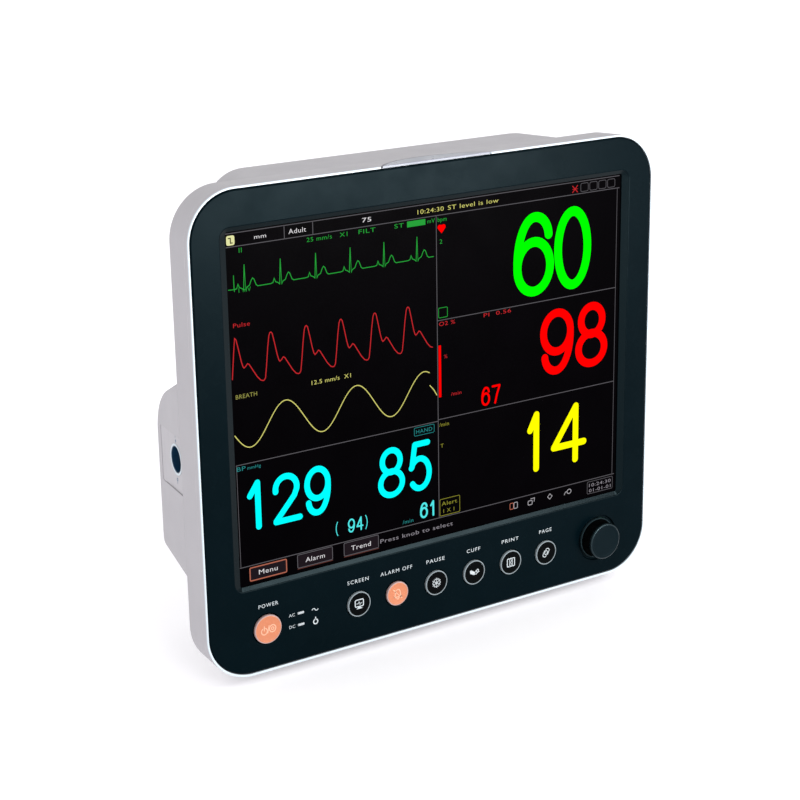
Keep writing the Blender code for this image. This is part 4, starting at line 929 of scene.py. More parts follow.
def rotary_knob():
    """The knob, ribbed round its rim: its edge is glossier than its top, its side duller."""
    radius, edge, rib = KNOB_D / 2 - 0.2, 1.2, 0.5
    dish = KNOB_PROUD - 0.25
    profile = [(0.0, dish, 0.0), (radius - 3.2, dish, 0.0), (radius - 2.6, KNOB_PROUD - 0.05, 0.0)]
    for height, inset in fillet(edge):
        profile.append((radius - inset, KNOB_PROUD - height, rib * min(1.0, height / edge)))
    profile += [(radius, KNOB_PROUD - 2.2, rib), (radius, -0.6, rib), (radius - 0.2, -1.2, rib)]
    profile += [(radius - 0.6, -1.5, 0.0), (radius - 1.7, -1.5, 0.0), (radius - 1.7, 3.2, 0.0)]
    profile += [(3.3, 3.2, 0.0), (3.3, KNOB_BORE, 0.0), (0.0, KNOB_BORE, 0.0)]
    ribs = 96
    knob = turned("turn_knob", profile, spot(KNOB_X, 0.0, KNOB_Z, "front"), 6 * ribs, ribs)
    finished(knob, KNOB_BLACK, "knob", ["rotary_knob"], angle=50.0)
    knob.data.materials.append(KNOB_EDGE)
    knob.data.materials.append(KEY_BLACK)
    for face in knob.data.polygons:
        height = (FRONT_Y - face.center.y) / MM
        away = math.hypot(face.center.x / MM - KNOB_X, (face.center.z - MIDDLE_Z) / MM - KNOB_Z)
        if away > radius - edge - rib and height > KNOB_PROUD - 2 * edge:
            face.material_index = 1
        elif height < KNOB_PROUD - edge:
            face.material_index = 2


# --- display picture

LEFT_EDGE, RIGHT_EDGE, MIDDLE = -152.3, 152.3, 0.5
TOP_LINE, HEAD_LINE, PRESSURE_LINE, FOOT_LINE = -130.7, -122.4, 16.0, 84.4
PICTURE_DEPTH, LINES_DEPTH, FIELD_DEPTH, SIGN_DEPTH = 2.86, 2.9, 2.91, 2.78
MENU, ALARM, TREND = (-144.8, -118.2), (-109.9, -83.7), (-74.8, -48.2)


def grid_lines(grey):
    thin = 0.5
    for v in (TOP_LINE, HEAD_LINE, FOOT_LINE):
        grey.line([(LEFT_EDGE + 0.6, v), (RIGHT_EDGE - 0.8, v)], thin)
    grey.line([(MIDDLE, HEAD_LINE), (MIDDLE, FOOT_LINE)], thin)
    for v in (-52.7, 15.0):
        grey.line([(MIDDLE, v), (RIGHT_EDGE - 2.4, v)], thin)
    grey.line([(LEFT_EDGE + 1.0, PRESSURE_LINE), (MIDDLE, PRESSURE_LINE)], thin)
    for u in (LEFT_EDGE + 1.2, RIGHT_EDGE - 2.4):
        grey.line([(u, HEAD_LINE if u > 0 else PRESSURE_LINE), (u, FOOT_LINE)], 0.35)
    for u in (-111.4, -91.2):
        grey.line([(u, TOP_LINE + 0.6), (u, HEAD_LINE - 0.4)], thin)
    for left, right in (ALARM, TREND):
        grey.frame_line(left, 85.4, right, 94.4, 0.5)
    for i in range(4):
        grey.frame_line(118.2 + 7.7 * i, -129.2, 124.6 + 7.7 * i, -123.6, 0.35, 1.2)
    grey.frame_line(127.6, 86.0, 150.4, 95.0, 0.35)

def heart_wave(marks):
    """Six heart beats: small wave, spike, dip and a round wave, on a flat line."""
    pitch, base, first = 25.1, -96.0, -140.0
    marks.line([(LEFT_EDGE + 1.0, base - 0.2), (-147.5, base), (-147.5, -104.8), (-147.3, -94.8)], 0.5)
    for beat in range(6):
        u = first + pitch * beat
        wave = [(u - 7.3 if beat else u - 6.9, base), (u - 5.6, base - 0.4), (u - 4.7, base - 3.0)]
        wave += [(u - 3.8, base - 0.7), (u - 2.2, base), (u - 0.9, base + 1.1)]
        marks.line(wave + [(u, base - 14.4)], 0.55)
        wave = [(u, base - 14.4), (u + 0.5, base + 1.3), (u + 1.3, base - 0.3), (u + 3.2, base - 1.2)]
        wave += [(u + 4.4, base - 4.0), (u + 5.4, base - 5.4), (u + 6.4, base - 4.6), (u + 7.8, base - 0.9)]
        marks.line(wave + [(u + 8.9, base), (u + 12.5 if beat == 5 else u + pitch - 7.3, base)], 0.55)


def pulse_wave(marks):
    """Pulse waves: a steep rise, a fall with a notch, and a slow run out."""
    pitch, first, peak, trough = 25.3, -148.6, -65.6, -35.6
    span = trough - peak

    def beat(u, left_of_peak=True):
        points = []
        if left_of_peak:
            points += [(u - 5.8, trough - 0.2), (u - 4.9, trough - 1.6), (u - 3.9, trough - 9.0)]
            points += [(u - 2.6, peak + 9.5), (u - 1.5, peak + 2.2), (u - 0.8, peak + 0.4)]
        points += [(u, peak), (u + 0.9, peak + 1.0), (u + 2.2, peak + 6.8), (u + 3.9, peak + 15.0)]
        points += [(u + 4.9, peak + 18.6), (u + 5.7, trough - 10.3), (u + 6.9, trough - 11.2)]
        points += [(u + 8.2, trough - 12.7), (u + 9.3, trough - 12.0), (u + 11.6, trough - 8.2)]
        points += [(u + 14.6, trough - 3.3), (u + 17.0, trough - 0.6), (u + 18.6, trough)]
        return points

    points = [(LEFT_EDGE + 1.0, trough - 4.4), (-149.6, trough - span * 0.72)]
    for i in range(6):
        points += beat(first + pitch * i, left_of_peak=i > 0)
    marks.line([p for p in points if p[0] < MIDDLE - 0.8], 0.65)


def breath_wave(marks):
    """Slow sine with a gap where the sweep is."""
    period, middle, swing, crest = 52.2, -7.2, 12.9, -114.5

    def run(start, end, steps):
        return [
            (u, middle - swing * math.cos(2 * math.pi * (u - crest) / period))
            for u in (start + (end - start) * i / steps for i in range(steps + 1))
        ]

    marks.line(run(LEFT_EDGE + 1.0, -6.2, 120), 0.62)
    marks.line([(-5.8, -9.9), (-2.8, -6.4), (-0.4, -2.4)], 0.62)


def box_corners(left, top, right, bottom):
    return [(left, top), (right, top), (right, bottom), (left, bottom)]


def screen_piece(name, glow, colour, drawing=None, strength=1.0, depth=PICTURE_DEPTH, digits=(),
                 words=(), frames=(), fills=(), lines=(), loops=()):
    """What the screen shows in one colour, each row being what a mark is drawn from."""
    marks = Marks(screen_place(depth))
    if drawing:
        drawing(marks)
    for row in digits:
        draw_digit(marks, *row)
    for row in words:
        marks.words(*row)
    for row in frames:
        marks.frame_line(*row)
    for outline in fills:
        marks.fill(outline)
    for row in lines:
        marks.line(*row)
    for row in loops:
        marks.line(*row, closed=True)
    marks.done("screen_" + name, glowing("screen_" + glow, colour, strength))


def display_picture():
    """The measuring display: waves on the left, numbers on the right, a status row and a key row."""
    screen_piece("lines", "lines", (0.10, 0.095, 0.105), grid_lines, depth=LINES_DEPTH)
    screen_piece("heart_rate", "green", (0.0, 1.0, 0.0), strength=1.05, digits=[
        ("6", 61.5, -114.5, 96.0, -57.2, 6.6), ("0", 96.1, -114.5, 127.8, -57.2, 6.6),
    ])
    screen_piece("heart_wave", "wave_green", (0.02, 0.33, 0.04), heart_wave, words=[
        ("II", -143.2, -118.2, 3.2, -141.2), ("25 mm/s", -95.8, -118.2, 2.9, -77.7),
        ("X1", -72.0, -118.2, 2.9, -66.4), ("FILT", -58.2, -118.2, 2.9, -45.7),
        ("ST", -31.5, -118.2, 2.9, -24.4), ("mV", -6.4, -118.2, 2.9, -0.6),
        ("1 mV", -144.4, -93.6, 2.9, -136.0), ("bpm", 1.6, -118.2, 2.9, 8.6),
        ("2", 3.0, -103.6, 3.0, 5.0),
    ], frames=[(1.6, -61.0, 8.6, -54.4, 0.4)], fills=[box_corners(-21.9, -121.4, -7.9, -117.6)])
    heart = [(4.6, -110.4), (1.6, -113.8)] + arc((3.1, -114.6), (1.6, 1.5), 160, 340, 8)
    heart += arc((6.1, -114.6), (1.6, 1.5), 200, 380, 8) + [(7.6, -113.8)]
    screen_piece("oxygen", "red", (1.0, 0.0, 0.0), digits=[
        ("9", 84.8, -45.5, 114.1, 1.0, 5.7), ("8", 115.2, -45.5, 143.5, 1.0, 5.7),
        ("6", 35.5, -0.8, 42.8, 12.5, 1.5), ("7", 44.2, -0.8, 51.5, 12.5, 1.5),
    ], fills=[box_corners(1.3, -35.8, 3.2, -0.3), heart])
    screen_piece("pulse_wave", "wave_red", (0.50, 0.02, 0.025), pulse_wave, words=[
        ("Pulse", -149.2, -72.2, 2.9, -137.6), ("O2 %", 1.9, -48.8, 2.9, 14.6),
        ("PI  0.56", 37.7, -49.2, 2.7, 60.2), ("%", 5.6, -26.4, 2.6, 8.2),
        ("/min", 11.0, 0.4, 2.7, 19.3),
    ], lines=[
        ([(111.2, -128.2), (115.4, -123.8)], 0.6), ([(111.2, -123.8), (115.4, -128.2)], 0.6),
        ([(111.2, -126.0), (115.4, -126.0)], 0.4),
    ])
    screen_piece("breath_rate", "yellow", (1.0, 1.0, 0.0), digits=[
        ("1", 73.8, 24.5, 85.4, 68.5, 4.9), ("4", 94.8, 24.5, 126.1, 68.5, 4.9),
    ])
    screen_piece("breath_wave", "wave_yellow", (0.62, 0.60, 0.16), breath_wave, words=[
        ("10:24:30", -13.8, -125.0, 3.0, 6.4), ("ST level is low", 9.6, -125.0, 3.0, 49.8),
        ("12.5 mm/s  X1", -95.4, -26.4, 2.9, -66.4),
    ])
    screen_piece("breath_name", "khaki", (0.30, 0.29, 0.07), words=[("BREATH", -149.5, -26.8, 2.9, -134.6)])
    screen_piece("breath_labels", "olive", (0.26, 0.25, 0.03), words=[
        ("/min", 1.4, 20.2, 2.8, 9.0), ("T", 2.2, 35.0, 2.8, 4.6), ("Alert", 2.6, 76.4, 3.0, 15.2),
        ("1 X 1", 4.0, 81.6, 2.8, 12.8),
    ], frames=[(1.2, 71.6, 17.4, 83.4, 0.35)])
    screen_piece("pressure", "cyan", (0.0, 1.0, 1.0), digits=[
        ("1", -145.1, 27.9, -134.0, 61.4, 4.1), ("2", -127.2, 27.9, -105.0, 61.4, 4.1),
        ("9", -103.2, 27.9, -83.2, 61.4, 4.1), ("8", -47.6, 26.7, -26.5, 61.8, 4.1),
        ("5", -23.8, 26.7, -4.7, 61.8, 4.1),
    ])
    screen_piece("mean_pressure", "pale_cyan", (0.08, 0.78, 0.78), digits=[
        ("9", -71.4, 69.4, -66.0, 79.0, 1.05), ("4", -65.0, 69.4, -59.6, 79.0, 1.05),
        ("6", -15.0, 70.6, -8.6, 81.8, 1.4), ("1", -6.9, 70.6, -3.2, 81.8, 1.4),
    ], lines=[
        (arc((-70.4, 74.2), (10.0, 10.0), 152, 208, 10), 0.55),
        (arc((-66.6, 74.2), (10.0, 10.0), -28, 28, 10), 0.55),
    ])
    screen_piece("pressure_labels", "teal", (0.02, 0.22, 0.22), words=[
        ("BP", -151.0, 20.0, 3.0, -144.8), ("mmHg", -143.6, 20.0, 2.2, -134.0),
        ("HAND", -17.2, 21.4, 2.8, -4.4), ("/min", -28.9, 82.4, 2.8, -20.4),
    ], frames=[(-18.6, 17.2, -2.8, 22.8, 0.35)])
    screen_piece("words", "white", (0.72, 0.70, 0.72), words=[
        ("mm", -132.3, -125.2, 2.6, -124.1), ("Adult", -108.4, -125.0, 3.2, -96.0),
        ("75", -55.4, -125.2, 3.0, -48.7), ("Alarm", -104.0, 91.6, 3.4, -89.6),
        ("Menu", -138.4, 91.8, 3.4, -124.8), ("Trend", -69.4, 91.6, 3.4, -54.2),
    ])
    screen_piece("icons", "icon_grey", (0.36, 0.35, 0.37), frames=[
        (63.0, 87.2, 66.0, 91.6, 0.5, 0.7), (75.2, 88.8, 78.8, 91.8, 0.55, 0.8),
    ], lines=[
        ([(77.4, 87.6), (80.8, 87.4), (80.4, 90.0)], 0.5),
        ([(107.0, 91.0), (107.9, 89.2), (109.4, 89.0)], 0.5),
    ], loops=[
        ([(92.2, 89.4), (94.2, 87.4), (96.2, 89.4), (94.2, 91.4)], 0.5),
        (arc((111.2, 89.2), (1.8, 1.6), *ROUND, 16), 0.55),
    ])
    screen_piece("hint", "pale", (0.26, 0.24, 0.27), words=[
        ("Press knob to select", -46.7, 92.0, 3.0, 11.5), ("10:24:30", 129.2, 90.0, 2.6, 148.8),
        ("01-01-01", 129.2, 94.0, 2.6, 148.8),
    ])
    screen_piece("choice", "orange", (0.40, 0.12, 0.075), frames=[
        (MENU[0], 86.0, MENU[1], 94.8, 0.8), (59.6, 87.2, 62.6, 91.6, 0.5, 0.7),
    ])
    screen_piece("key_fields", "plum", (0.013, 0.009, 0.012), depth=FIELD_DEPTH, fills=[
        box_corners(left, 86.0, right, 94.6) for left, right in (MENU, ALARM, TREND)
    ])
    screen_piece("underlines", "rust", (0.10, 0.03, 0.022), lines=[
        ([(left, 95.0), (right, 95.0)], 0.5) for left, right in (ALARM, TREND)
    ])
    lamp = rounded(5.6, 6.0, 1.2, (-148.6, -126.4), 4)
    screen_piece("lamp", "straw", (0.72, 0.73, 0.36), fills=[lamp])
    screen_piece("lamp_sign", "brown", (0.06, 0.06, 0.02), depth=SIGN_DEPTH, lines=[
        ([(-150.0, -127.8), (-148.6, -127.8), (-148.6, -124.8), (-147.4, -124.8)], 0.7),
    ])


# --- rear housing

def main_outline(half, inset, steps):
    return rounded(
        2 * (half - inset), MAIN_TOP - MAIN_BOTTOM - 2 * inset, max(4.0, MAIN_R - inset),
        (0.0, (MAIN_TOP + MAIN_BOTTOM) / 2), steps,
    )


def main_form(name, wall, steps):
    """Main shell: sides that draft in towards the back, with a round rear edge."""
    round_edge = 8.0
    sections = []
    for depth in (POD_FRONT - 2.0 * (wall > 0), 42.0, HOUSING_BACK - round_edge):
        share = max(0.0, (depth - POD_FRONT) / (HOUSING_BACK - POD_FRONT))
        half = MAIN_HALF_W + (MAIN_BACK_HALF_W - MAIN_HALF_W) * share
        sections.append((depth, main_outline(half, wall, steps)))
    for height, inset in fillet(round_edge - wall, 8)[::-1][1:]:
        sections.append((HOUSING_BACK - wall - height,
                         main_outline(MAIN_BACK_HALF_W + 1.0, wall + inset, steps)))
    return loft(name, sections)


def bulge_form(name, wall, steps):
    """Deep centre of the back: a hollow sweep out of the main shell and a round rear edge."""
    round_edge, draft, cove = 10.0, 6.0, 7.0

    def outline(inset, lift=0.0):
        top = BULGE_TOP - inset
        bottom = MAIN_BOTTOM + wall + lift
        return rounded(2 * (BULGE_HALF_W - inset), top - bottom, max(4.0, BULGE_R - inset),
                       (0.0, (top + bottom) / 2), steps)

    sections = [(HOUSING_BACK - 14.0, outline(wall - (0.0 if wall else cove)))]
    if not wall:
        for step in range(9):
            rise = cove * step / 8
            out = cove - math.sqrt(cove ** 2 - (cove - rise) ** 2)
            sections.append((HOUSING_BACK + rise, outline(-out + 1.0 * step / 8)))
    sections.append((BULGE_BACK - round_edge, outline(wall + draft)))
    for height, inset in fillet(round_edge - wall, 8)[::-1][1:]:
        sections.append((BULGE_BACK - wall - height, outline(wall + draft + inset, inset)))
    return loft(name, sections)


def inset_outline(outline, distance):
    """A convex outline moved inwards by a distance, point by point."""
    moved = []
    for i, (x, y) in enumerate(outline):
        here = Vector((x, y))
        ahead = (Vector(outline[(i + 1) % len(outline)]) - here).normalized()
        behind = (here - Vector(outline[i - 1])).normalized()
        normal = Vector((-(ahead + behind).y, (ahead + behind).x)).normalized()
        moved.append(tuple(here + normal * distance / max(0.3, math.cos(ahead.angle(behind) / 2))))
    return moved


def pod_outline(shift, steps):
    """Side view of a pod, (depth, z): a sloped top, a large round shoulder, an upright back."""
    shoulder_r, corner_r = 35.5, 6.0
    centre = (POD_BACK - shoulder_r, -6.0 + shift)
    corner = (POD_BACK - corner_r, -78.5)
    points = [(POD_FRONT - 4.0, 39.5 + shift), (36.0, 32.3 + shift)]
    points += arc(centre, (shoulder_r, shoulder_r), 66.0, 0.0, steps)
    points += arc(corner, (corner_r, corner_r), 0.0, -75.0, 8)
    points.append((POD_FRONT - 4.0, POD_BOTTOM))
    return points[::-1]


def pod_form(name, side, shift, wall, steps):
    """A pod on one side; its outer face slopes in towards the back and has a round edge."""
    outline = pod_outline(shift, steps)
    if wall:
        outline = inset_outline(outline, wall)
    reach = POD_SIDE - wall
    edge = 3.0

    def place(depth, x, z):
        slope = POD_SLOPE * (depth - POD_FRONT) if x > 101.0 else 0.0
        return at(side * (x - slope), depth, z)

    sections = [(100.0, outline)]
    if wall:
        sections.append((reach, outline))
    else:
        for height, inset in fillet(edge, 6)[::-1]:
            sections.append((reach - height, inset_outline(outline, inset) if inset else outline))
    return loft(name, sections, place)


PORT_POCKET = ((60.0, -123.0), (76.0, 50.0), 10.0)
POCKET_FACE = BULGE_BACK - PORT_POCKET[2]
INLET_X, INLET_Z, INLET_W, INLET_H = 78.0, -123.0, 27.0, 38.0
FUSE_Z = INLET_Z - 12.6
PORTS = {"network_port": (47.0, -111.0, 16.0, 13.5), "usb_port": (30.5, -111.0, 6.5, 13.5)}
POST_X, POST_Z = 40.0, -134.0
VESA, VESA_Z = 75.0, -22.0
SPEAKER_X, SPEAKER_Z, VENT_X = -60.0, 52.0, 55.0
GRIP_W, GRIP_LOW, GRIP_HIGH, GRIP_DEEP = 124.0, 110.0, 142.0, 26.0
BATTERY_X, BATTERY_W, BATTERY_LOW, BATTERY_HIGH = -43.0, 108.0, -146.0, -106.0
PLATE_W, PLATE_L, PLATE_Y = 100.0, 50.0, 68.0
PANEL_H = 36.4
SENSOR_W, SENSOR_H, SENSOR_Z, SENSOR_DEEP = 33.0, 74.0, 49.5, 8.0
RECORDER_W, RECORDER_H, RECORDER_DEEP, RECORDER_Y, RECORDER_Z = 31.0, 70.0, 38.0, 1.5, -27.0
SCREWS = [(-99.0, HOUSING_BACK, 126.0), (99.0, HOUSING_BACK, 126.0), (-90.0, BULGE_BACK, 72.0),
          (90.0, BULGE_BACK, 72.0), (-90.0, BULGE_BACK, -88.0), (90.0, BULGE_BACK, -88.0)]
SCREW_WELL, ROOM = 4.2, 0.8
VESA_SPOTS = [(x * VESA / 2, VESA_Z + z * VESA / 2) for x in (-1, 1) for z in (-1, 1)]


def back_tool(size, radius, centre, deep, flare=0.5, face=BULGE_BACK, steps=8):
    return mouth_tool(size, radius, centre, face, deep, flare, inward=-1, steps=steps)


def side_tool(size, radius, centre, deep, side, flare=0.4):
    """Pocket cutter in a pod's face: size and centre are (along the depth, up)."""
    sign = 1 if side is LEFT_SIDE else -1

    def place(y, x, z):
        return side @ (Vector((x, y, z)) * MM)

    return mouth_tool(size, radius, centre, 0.0, deep, flare, inward=sign, place=place)


def slot_tools(middle_x, middle_z, rows, width, pitch=6.0):
    """Rows of round-ended slots in the outline of a circle."""
    radius = rows * pitch / 2 + 1.0
    tools = []
    for row in range(rows):
        z = (row - (rows - 1) / 2) * pitch
        half = math.sqrt(max(1.0, radius ** 2 - z ** 2)) * width
        tools.append(back_tool((2 * half, 2.6), 1.29, (middle_x, middle_z + z), 8.0, 0.35, steps=5))
    return tools


def shell_form(name, wall, steps, shoulder_steps):
    """Main body, deep centre and both pods as one body, drawn in by a wall's thickness."""
    return joined(
        main_form(name, wall, steps), bulge_form("form", wall, steps),
        pod_form("form", -1, 0.0, wall, shoulder_steps),
        pod_form("form", 1, RIGHT_POD_RISE, wall, shoulder_steps),
    )


def rear_housing():
    """Rear shell: main body, side pods, deep centre, and everything cut through its wall."""
    body = shell_form("rear_shell", 0.0, 14, 24)
    hollow = shell_form("hollow", WALL, 5, 6)
    centre, size, deep = PORT_POCKET
    pocket_wall = tuple(side + 2 * WALL for side in size)
    carved(hollow, back_tool(pocket_wall, 4.5, centre, deep + WALL, 0.01))
    wide, ahead = 400.0, 60.0
    front = block("tool", (wide, ahead, wide), spot(0.0, POD_FRONT - ahead / 2, 0.0), bevel=0.0)
    carved(body, hollow, front)
    bosses = [rod("boss", 5.5, 0.0, 11.5, spot(x, BULGE_BACK - 13.0, z, "back")) for x, z in VESA_SPOTS]
    bosses += [rod("boss", 6.6, 0.0, 10.5, spot(x, face - 12.0, z, "back")) for x, face, z in SCREWS]
    joined(body, merged("bosses", bosses))
    low = [
        back_tool(size, 2.0, centre, deep, 0.8),
        back_tool((GRIP_W + ROOM, GRIP_HIGH - GRIP_LOW + ROOM), 0.4, (0.0, (GRIP_LOW + GRIP_HIGH) / 2),
                  8.0, 0.1, HOUSING_BACK),
        back_tool((BATTERY_W + ROOM, BATTERY_HIGH - BATTERY_LOW + ROOM), 1.6,
                  (BATTERY_X, (BATTERY_LOW + BATTERY_HIGH) / 2), 8.0, 0.5),
    ]
    low += slot_tools(SPEAKER_X, SPEAKER_Z, 7, 1.0)
    low += slot_tools(VENT_X, SPEAKER_Z, 7, 1.35)
    low += [hole_tool(3.05, 0.3, spot(x, BULGE_BACK, z, "back"), 10.0, 32) for x, z in VESA_SPOTS]
    low += [hole_tool(SCREW_WELL, 0.4, spot(x, face, z, "back"), 6.0, 40) for x, face, z in SCREWS]
    carved(body, merged("tools", low))
    floor = [back_tool((INLET_W + ROOM, INLET_H + ROOM), 0.8, (INLET_X, INLET_Z), 6.0, 0.1, POCKET_FACE)]
    for x, z, width, height in PORTS.values():
        floor.append(back_tool((width + ROOM, height + ROOM), 0.5, (x, z), 6.0, 0.1, POCKET_FACE))
    floor.append(hole_tool(4.4, 0.1, spot(POST_X, POCKET_FACE, POST_Z, "back"), 6.0, 40))
    carved(body, merged("tools", floor))
    carved(body, merged("tools", [
        side_tool((40.4, PANEL_H + ROOM), 1.2, (-2.8, 0.0), 8.0, LEFT_SIDE),
        side_tool((SENSOR_W + ROOM, SENSOR_H + ROOM), 1.4, (0.0, SENSOR_Z), 8.0, RIGHT_SIDE),
        side_tool((RECORDER_W + ROOM, RECORDER_H + ROOM), 1.4, (RECORDER_Y, RECORDER_Z), 8.0, RIGHT_SIDE),
        block("tool", (PLATE_W + ROOM, PLATE_L + ROOM, 16.0), spot(0.0, PLATE_Y, MAIN_BOTTOM), bevel=0.0),
    ]))
    finished(body, HOUSING, replaces=["rear_housing"])


def rear_fixings():
    """Recessed cross-head screws and the brass inserts of the four mounting holes."""
    for i, (x, face, z) in enumerate(SCREWS):
        place = spot(x, face - 6.0, z, "back")
        head = [(3.3 - 1.4 * (1 - math.cos(turn)), 2.2 * math.sin(turn))
                for turn in (0.0, 0.4, 0.8, 1.2, QUARTER_TURN)]
        screw = turned("housing_screw_%d" % (i + 1), [(0.0, 2.2)] + head[::-1] + [(3.3, -0.4), (0.0, -0.4)],
                       place, 40)
        cross = [block("tool", size, shifted(place, 0.0, 0.0, 2.0), 0.15)
                 for size in ((3.4, 0.8, 2.0), (0.8, 3.4, 2.0))]
        carved(screw, *cross)
        finished(screw, STEEL)
    for i, (x, z) in enumerate(VESA_SPOTS):
        insert = turned("mount_insert_%d" % (i + 1), [
            (1.75, -0.5), (2.1, -0.2), (2.7, -0.2), (2.98, -0.5), (2.98, -8.0), (1.75, -8.0), (1.75, -0.5),
        ], spot(x, BULGE_BACK, z, "back"), 40)
        finished(insert, BRASS)


def flange_form(name, size, radius, centre, back, thick, out, edge):
    """A soft-edged flange that reaches out beyond the size of what it is on."""
    sections = [(back, out)]
    sections += [(back + thick - height, out - inset) for height, inset in fillet(edge, 4)[::-1]]
    return loft(name, [
        (depth, grown(size, radius, wide, centre)) for depth, wide in sections
    ])


def grip_cup():
    """Recessed carrying grip with a flange and a soft mouth."""
    middle, tall, flange = (0.0, (GRIP_LOW + GRIP_HIGH) / 2), GRIP_HIGH - GRIP_LOW, 1.6
    back = HOUSING_BACK + GAP
    cup = flange_form("carry_grip_cup", (GRIP_W, tall), 5.0, middle, back, flange, 4.0, 0.8)
    tub = loft("tub", [
        (HOUSING_BACK + 1.0 - deep, rounded(GRIP_W, tall, 5.0, middle)) for deep in (GRIP_DEEP, 0.0)
    ])
    joined(cup, tub)
    hollow = (GRIP_W - 4.0, tall - 4.0)
    carved(cup, mouth_tool(hollow, 4.0, middle, back + flange, GRIP_DEEP, 1.2, inward=-1))
    finished(cup, GREY, replaces=["grip_cup"])


# --- pods

PANEL_SUNK, ECG_Y, ECG_Z = 1.0, -8.0, 2.5
ECG_BORE_R, ECG_TUBE_R, ECG_FLANGE_R, ECG_DEEP = 8.8, 9.2, 10.3, 14.0
SENSOR_SPOTS = {
    "spo2_socket": (SENSOR_Z + 24.0, 7.6), "nibp_port": (SENSOR_Z + 3.5, 6.0),
    "temp_socket_1": (SENSOR_Z - 13.5, 4.4), "temp_socket_2": (SENSOR_Z - 27.0, 4.4),
}


def left_place(x, height, y):
    return LEFT_SIDE @ (Vector((x, y, height)) * MM)


def socket_panel():
    """Left connector panel: sunk, with a light ramp up to the housing at its rear edge."""
    front, ramp, shoulder, rear = -18.5, 4.5, 12.6, 17.1
    face, flush, inner = PANEL_SUNK, 0.4, 4.6
    outline = [(face, front), (face, ramp - 1.0), (face - 0.06, ramp), (face - 0.24, ramp + 1.0)]
    outline += [(flush + 0.24, shoulder - 1.0), (flush + 0.06, shoulder - 0.2), (flush, shoulder + 0.6)]
    outline += [(flush, rear), (inner, rear), (inner, front)]
    half = PANEL_H / 2 + 0.25
    panel = loft("socket_plate", [(-half, outline), (half, outline)], left_place)
    carved(panel, hole_tool(ECG_TUBE_R + 0.3, 0.3, spot(PANEL_SUNK, ECG_Y, ECG_Z, "left", LEFT_SIDE), 8.0))
    finished(panel, PANEL, replaces=["socket_panel"])


def ecg_socket():
    """Round patient-cable socket: a light collar with a dark blue contact insert and its pins."""
    place = spot(PANEL_SUNK, ECG_Y, ECG_Z, "left", LEFT_SIDE)
    middle, half = (ECG_BORE_R + ECG_FLANGE_R) / 2, (ECG_FLANGE_R - ECG_BORE_R) / 2
    lip = [(middle + half * math.sin(turn), 0.15 + 0.4 * math.cos(turn))
           for turn in (-1.3, -0.9, -0.45, 0.0, 0.45, 0.9, 1.3)]
    shell = turned("patient_socket_collar", [(ECG_BORE_R, 0.0)] + lip + [
        (ECG_FLANGE_R, 0.1), (ECG_TUBE_R, 0.1), (ECG_TUBE_R, -ECG_DEEP), (ECG_BORE_R, -ECG_DEEP),
        (ECG_BORE_R, 0.0),
    ], place)
    finished(shell, COLLAR, replaces=["ecg_socket"])
    radius, pin_circle = ECG_BORE_R - GAP, 4.8
    insert = turned("patient_socket_insert", [
        (0.0, -5.0), (radius - 0.7, -5.0), (radius - 0.2, -5.2), (radius, -5.6), (radius, -ECG_DEEP),
        (0.0, -ECG_DEEP),
    ], place)
    holes = []
    for i in range(5):
        angle = math.radians(54.0 + 72.0 * i)
        pin_place = shifted(place, pin_circle * math.cos(angle), pin_circle * math.sin(angle), -5.0)
        holes.append(hole_tool(0.9, 0.2, pin_place, 6.0, 24))
        pin = turned("patient_socket_pin_%d" % (i + 1), [
            (0.0, -1.0), (0.25, -1.06), (0.42, -1.4), (0.42, -6.0), (0.0, -6.0),
        ], pin_place, 20)
        finished(pin, BRASS)
    carved(insert, merged("tools", holes))
    finished(insert, BLUE, replaces=["ecg_insert"])
    lining = turned("patient_socket_lining", [
        (ECG_BORE_R - 0.5, 0.0), (ECG_BORE_R - 0.05, 0.25), (ECG_BORE_R - 0.05, -4.9),
        (ECG_BORE_R - 0.5, -4.9), (ECG_BORE_R - 0.5, 0.0),
    ], place)
    finished(lining, BLUE)
    pod_marks()


def pod_marks():
    """Small generic marks above and below the socket: a heart line and rings; u runs upwards here."""
    marks = Marks(flat_place(spot(PANEL_SUNK, ECG_Y, ECG_Z, "left", LEFT_SIDE)), 0.04)
    marks.line([(15.6, 2.0), (15.6, 0.8), (17.0, 0.2), (14.4, -0.4), (15.6, -0.9), (15.6, -2.0)], 0.5)
    marks.line(arc((12.2, 0.0), (0.7, 0.7), *ROUND, 12), 0.6, closed=True)
    marks.line(arc((-13.4, 0.0), (0.9, 0.9), *ROUND, 12), 0.6, closed=True)
    marks.line([(-14.3, 0.0), (-16.0, 0.0)], 0.5)
    marks.done("socket_marks", DARK_PRINT)


def sensor_panel():
    """Right connector tray with its four sockets."""
    centre = (0.0, SENSOR_Z)
    tray = block("sensor_tray", (SENSOR_DEEP + 2.0, SENSOR_W, SENSOR_H),
                 spot(-SENSOR_DEEP / 2 - 1.3, 0.0, SENSOR_Z, side=RIGHT_SIDE), 0.5)
    carved(tray, side_tool((SENSOR_W - 3.6, SENSOR_H - 3.6), 2.4, centre, SENSOR_DEEP + 0.3, RIGHT_SIDE))
    carved(tray, merged("tools", [
        hole_tool(radius + GAP, 0.1, spot(-SENSOR_DEEP, 0.0, z, "right", RIGHT_SIDE), 6.0, 48)
        for z, radius in SENSOR_SPOTS.values()
    ]))
    finished(tray, PANEL, replaces=["sensor_panel"])
    for name, (z, radius) in SENSOR_SPOTS.items():
        sensor_connector(name, z, radius)


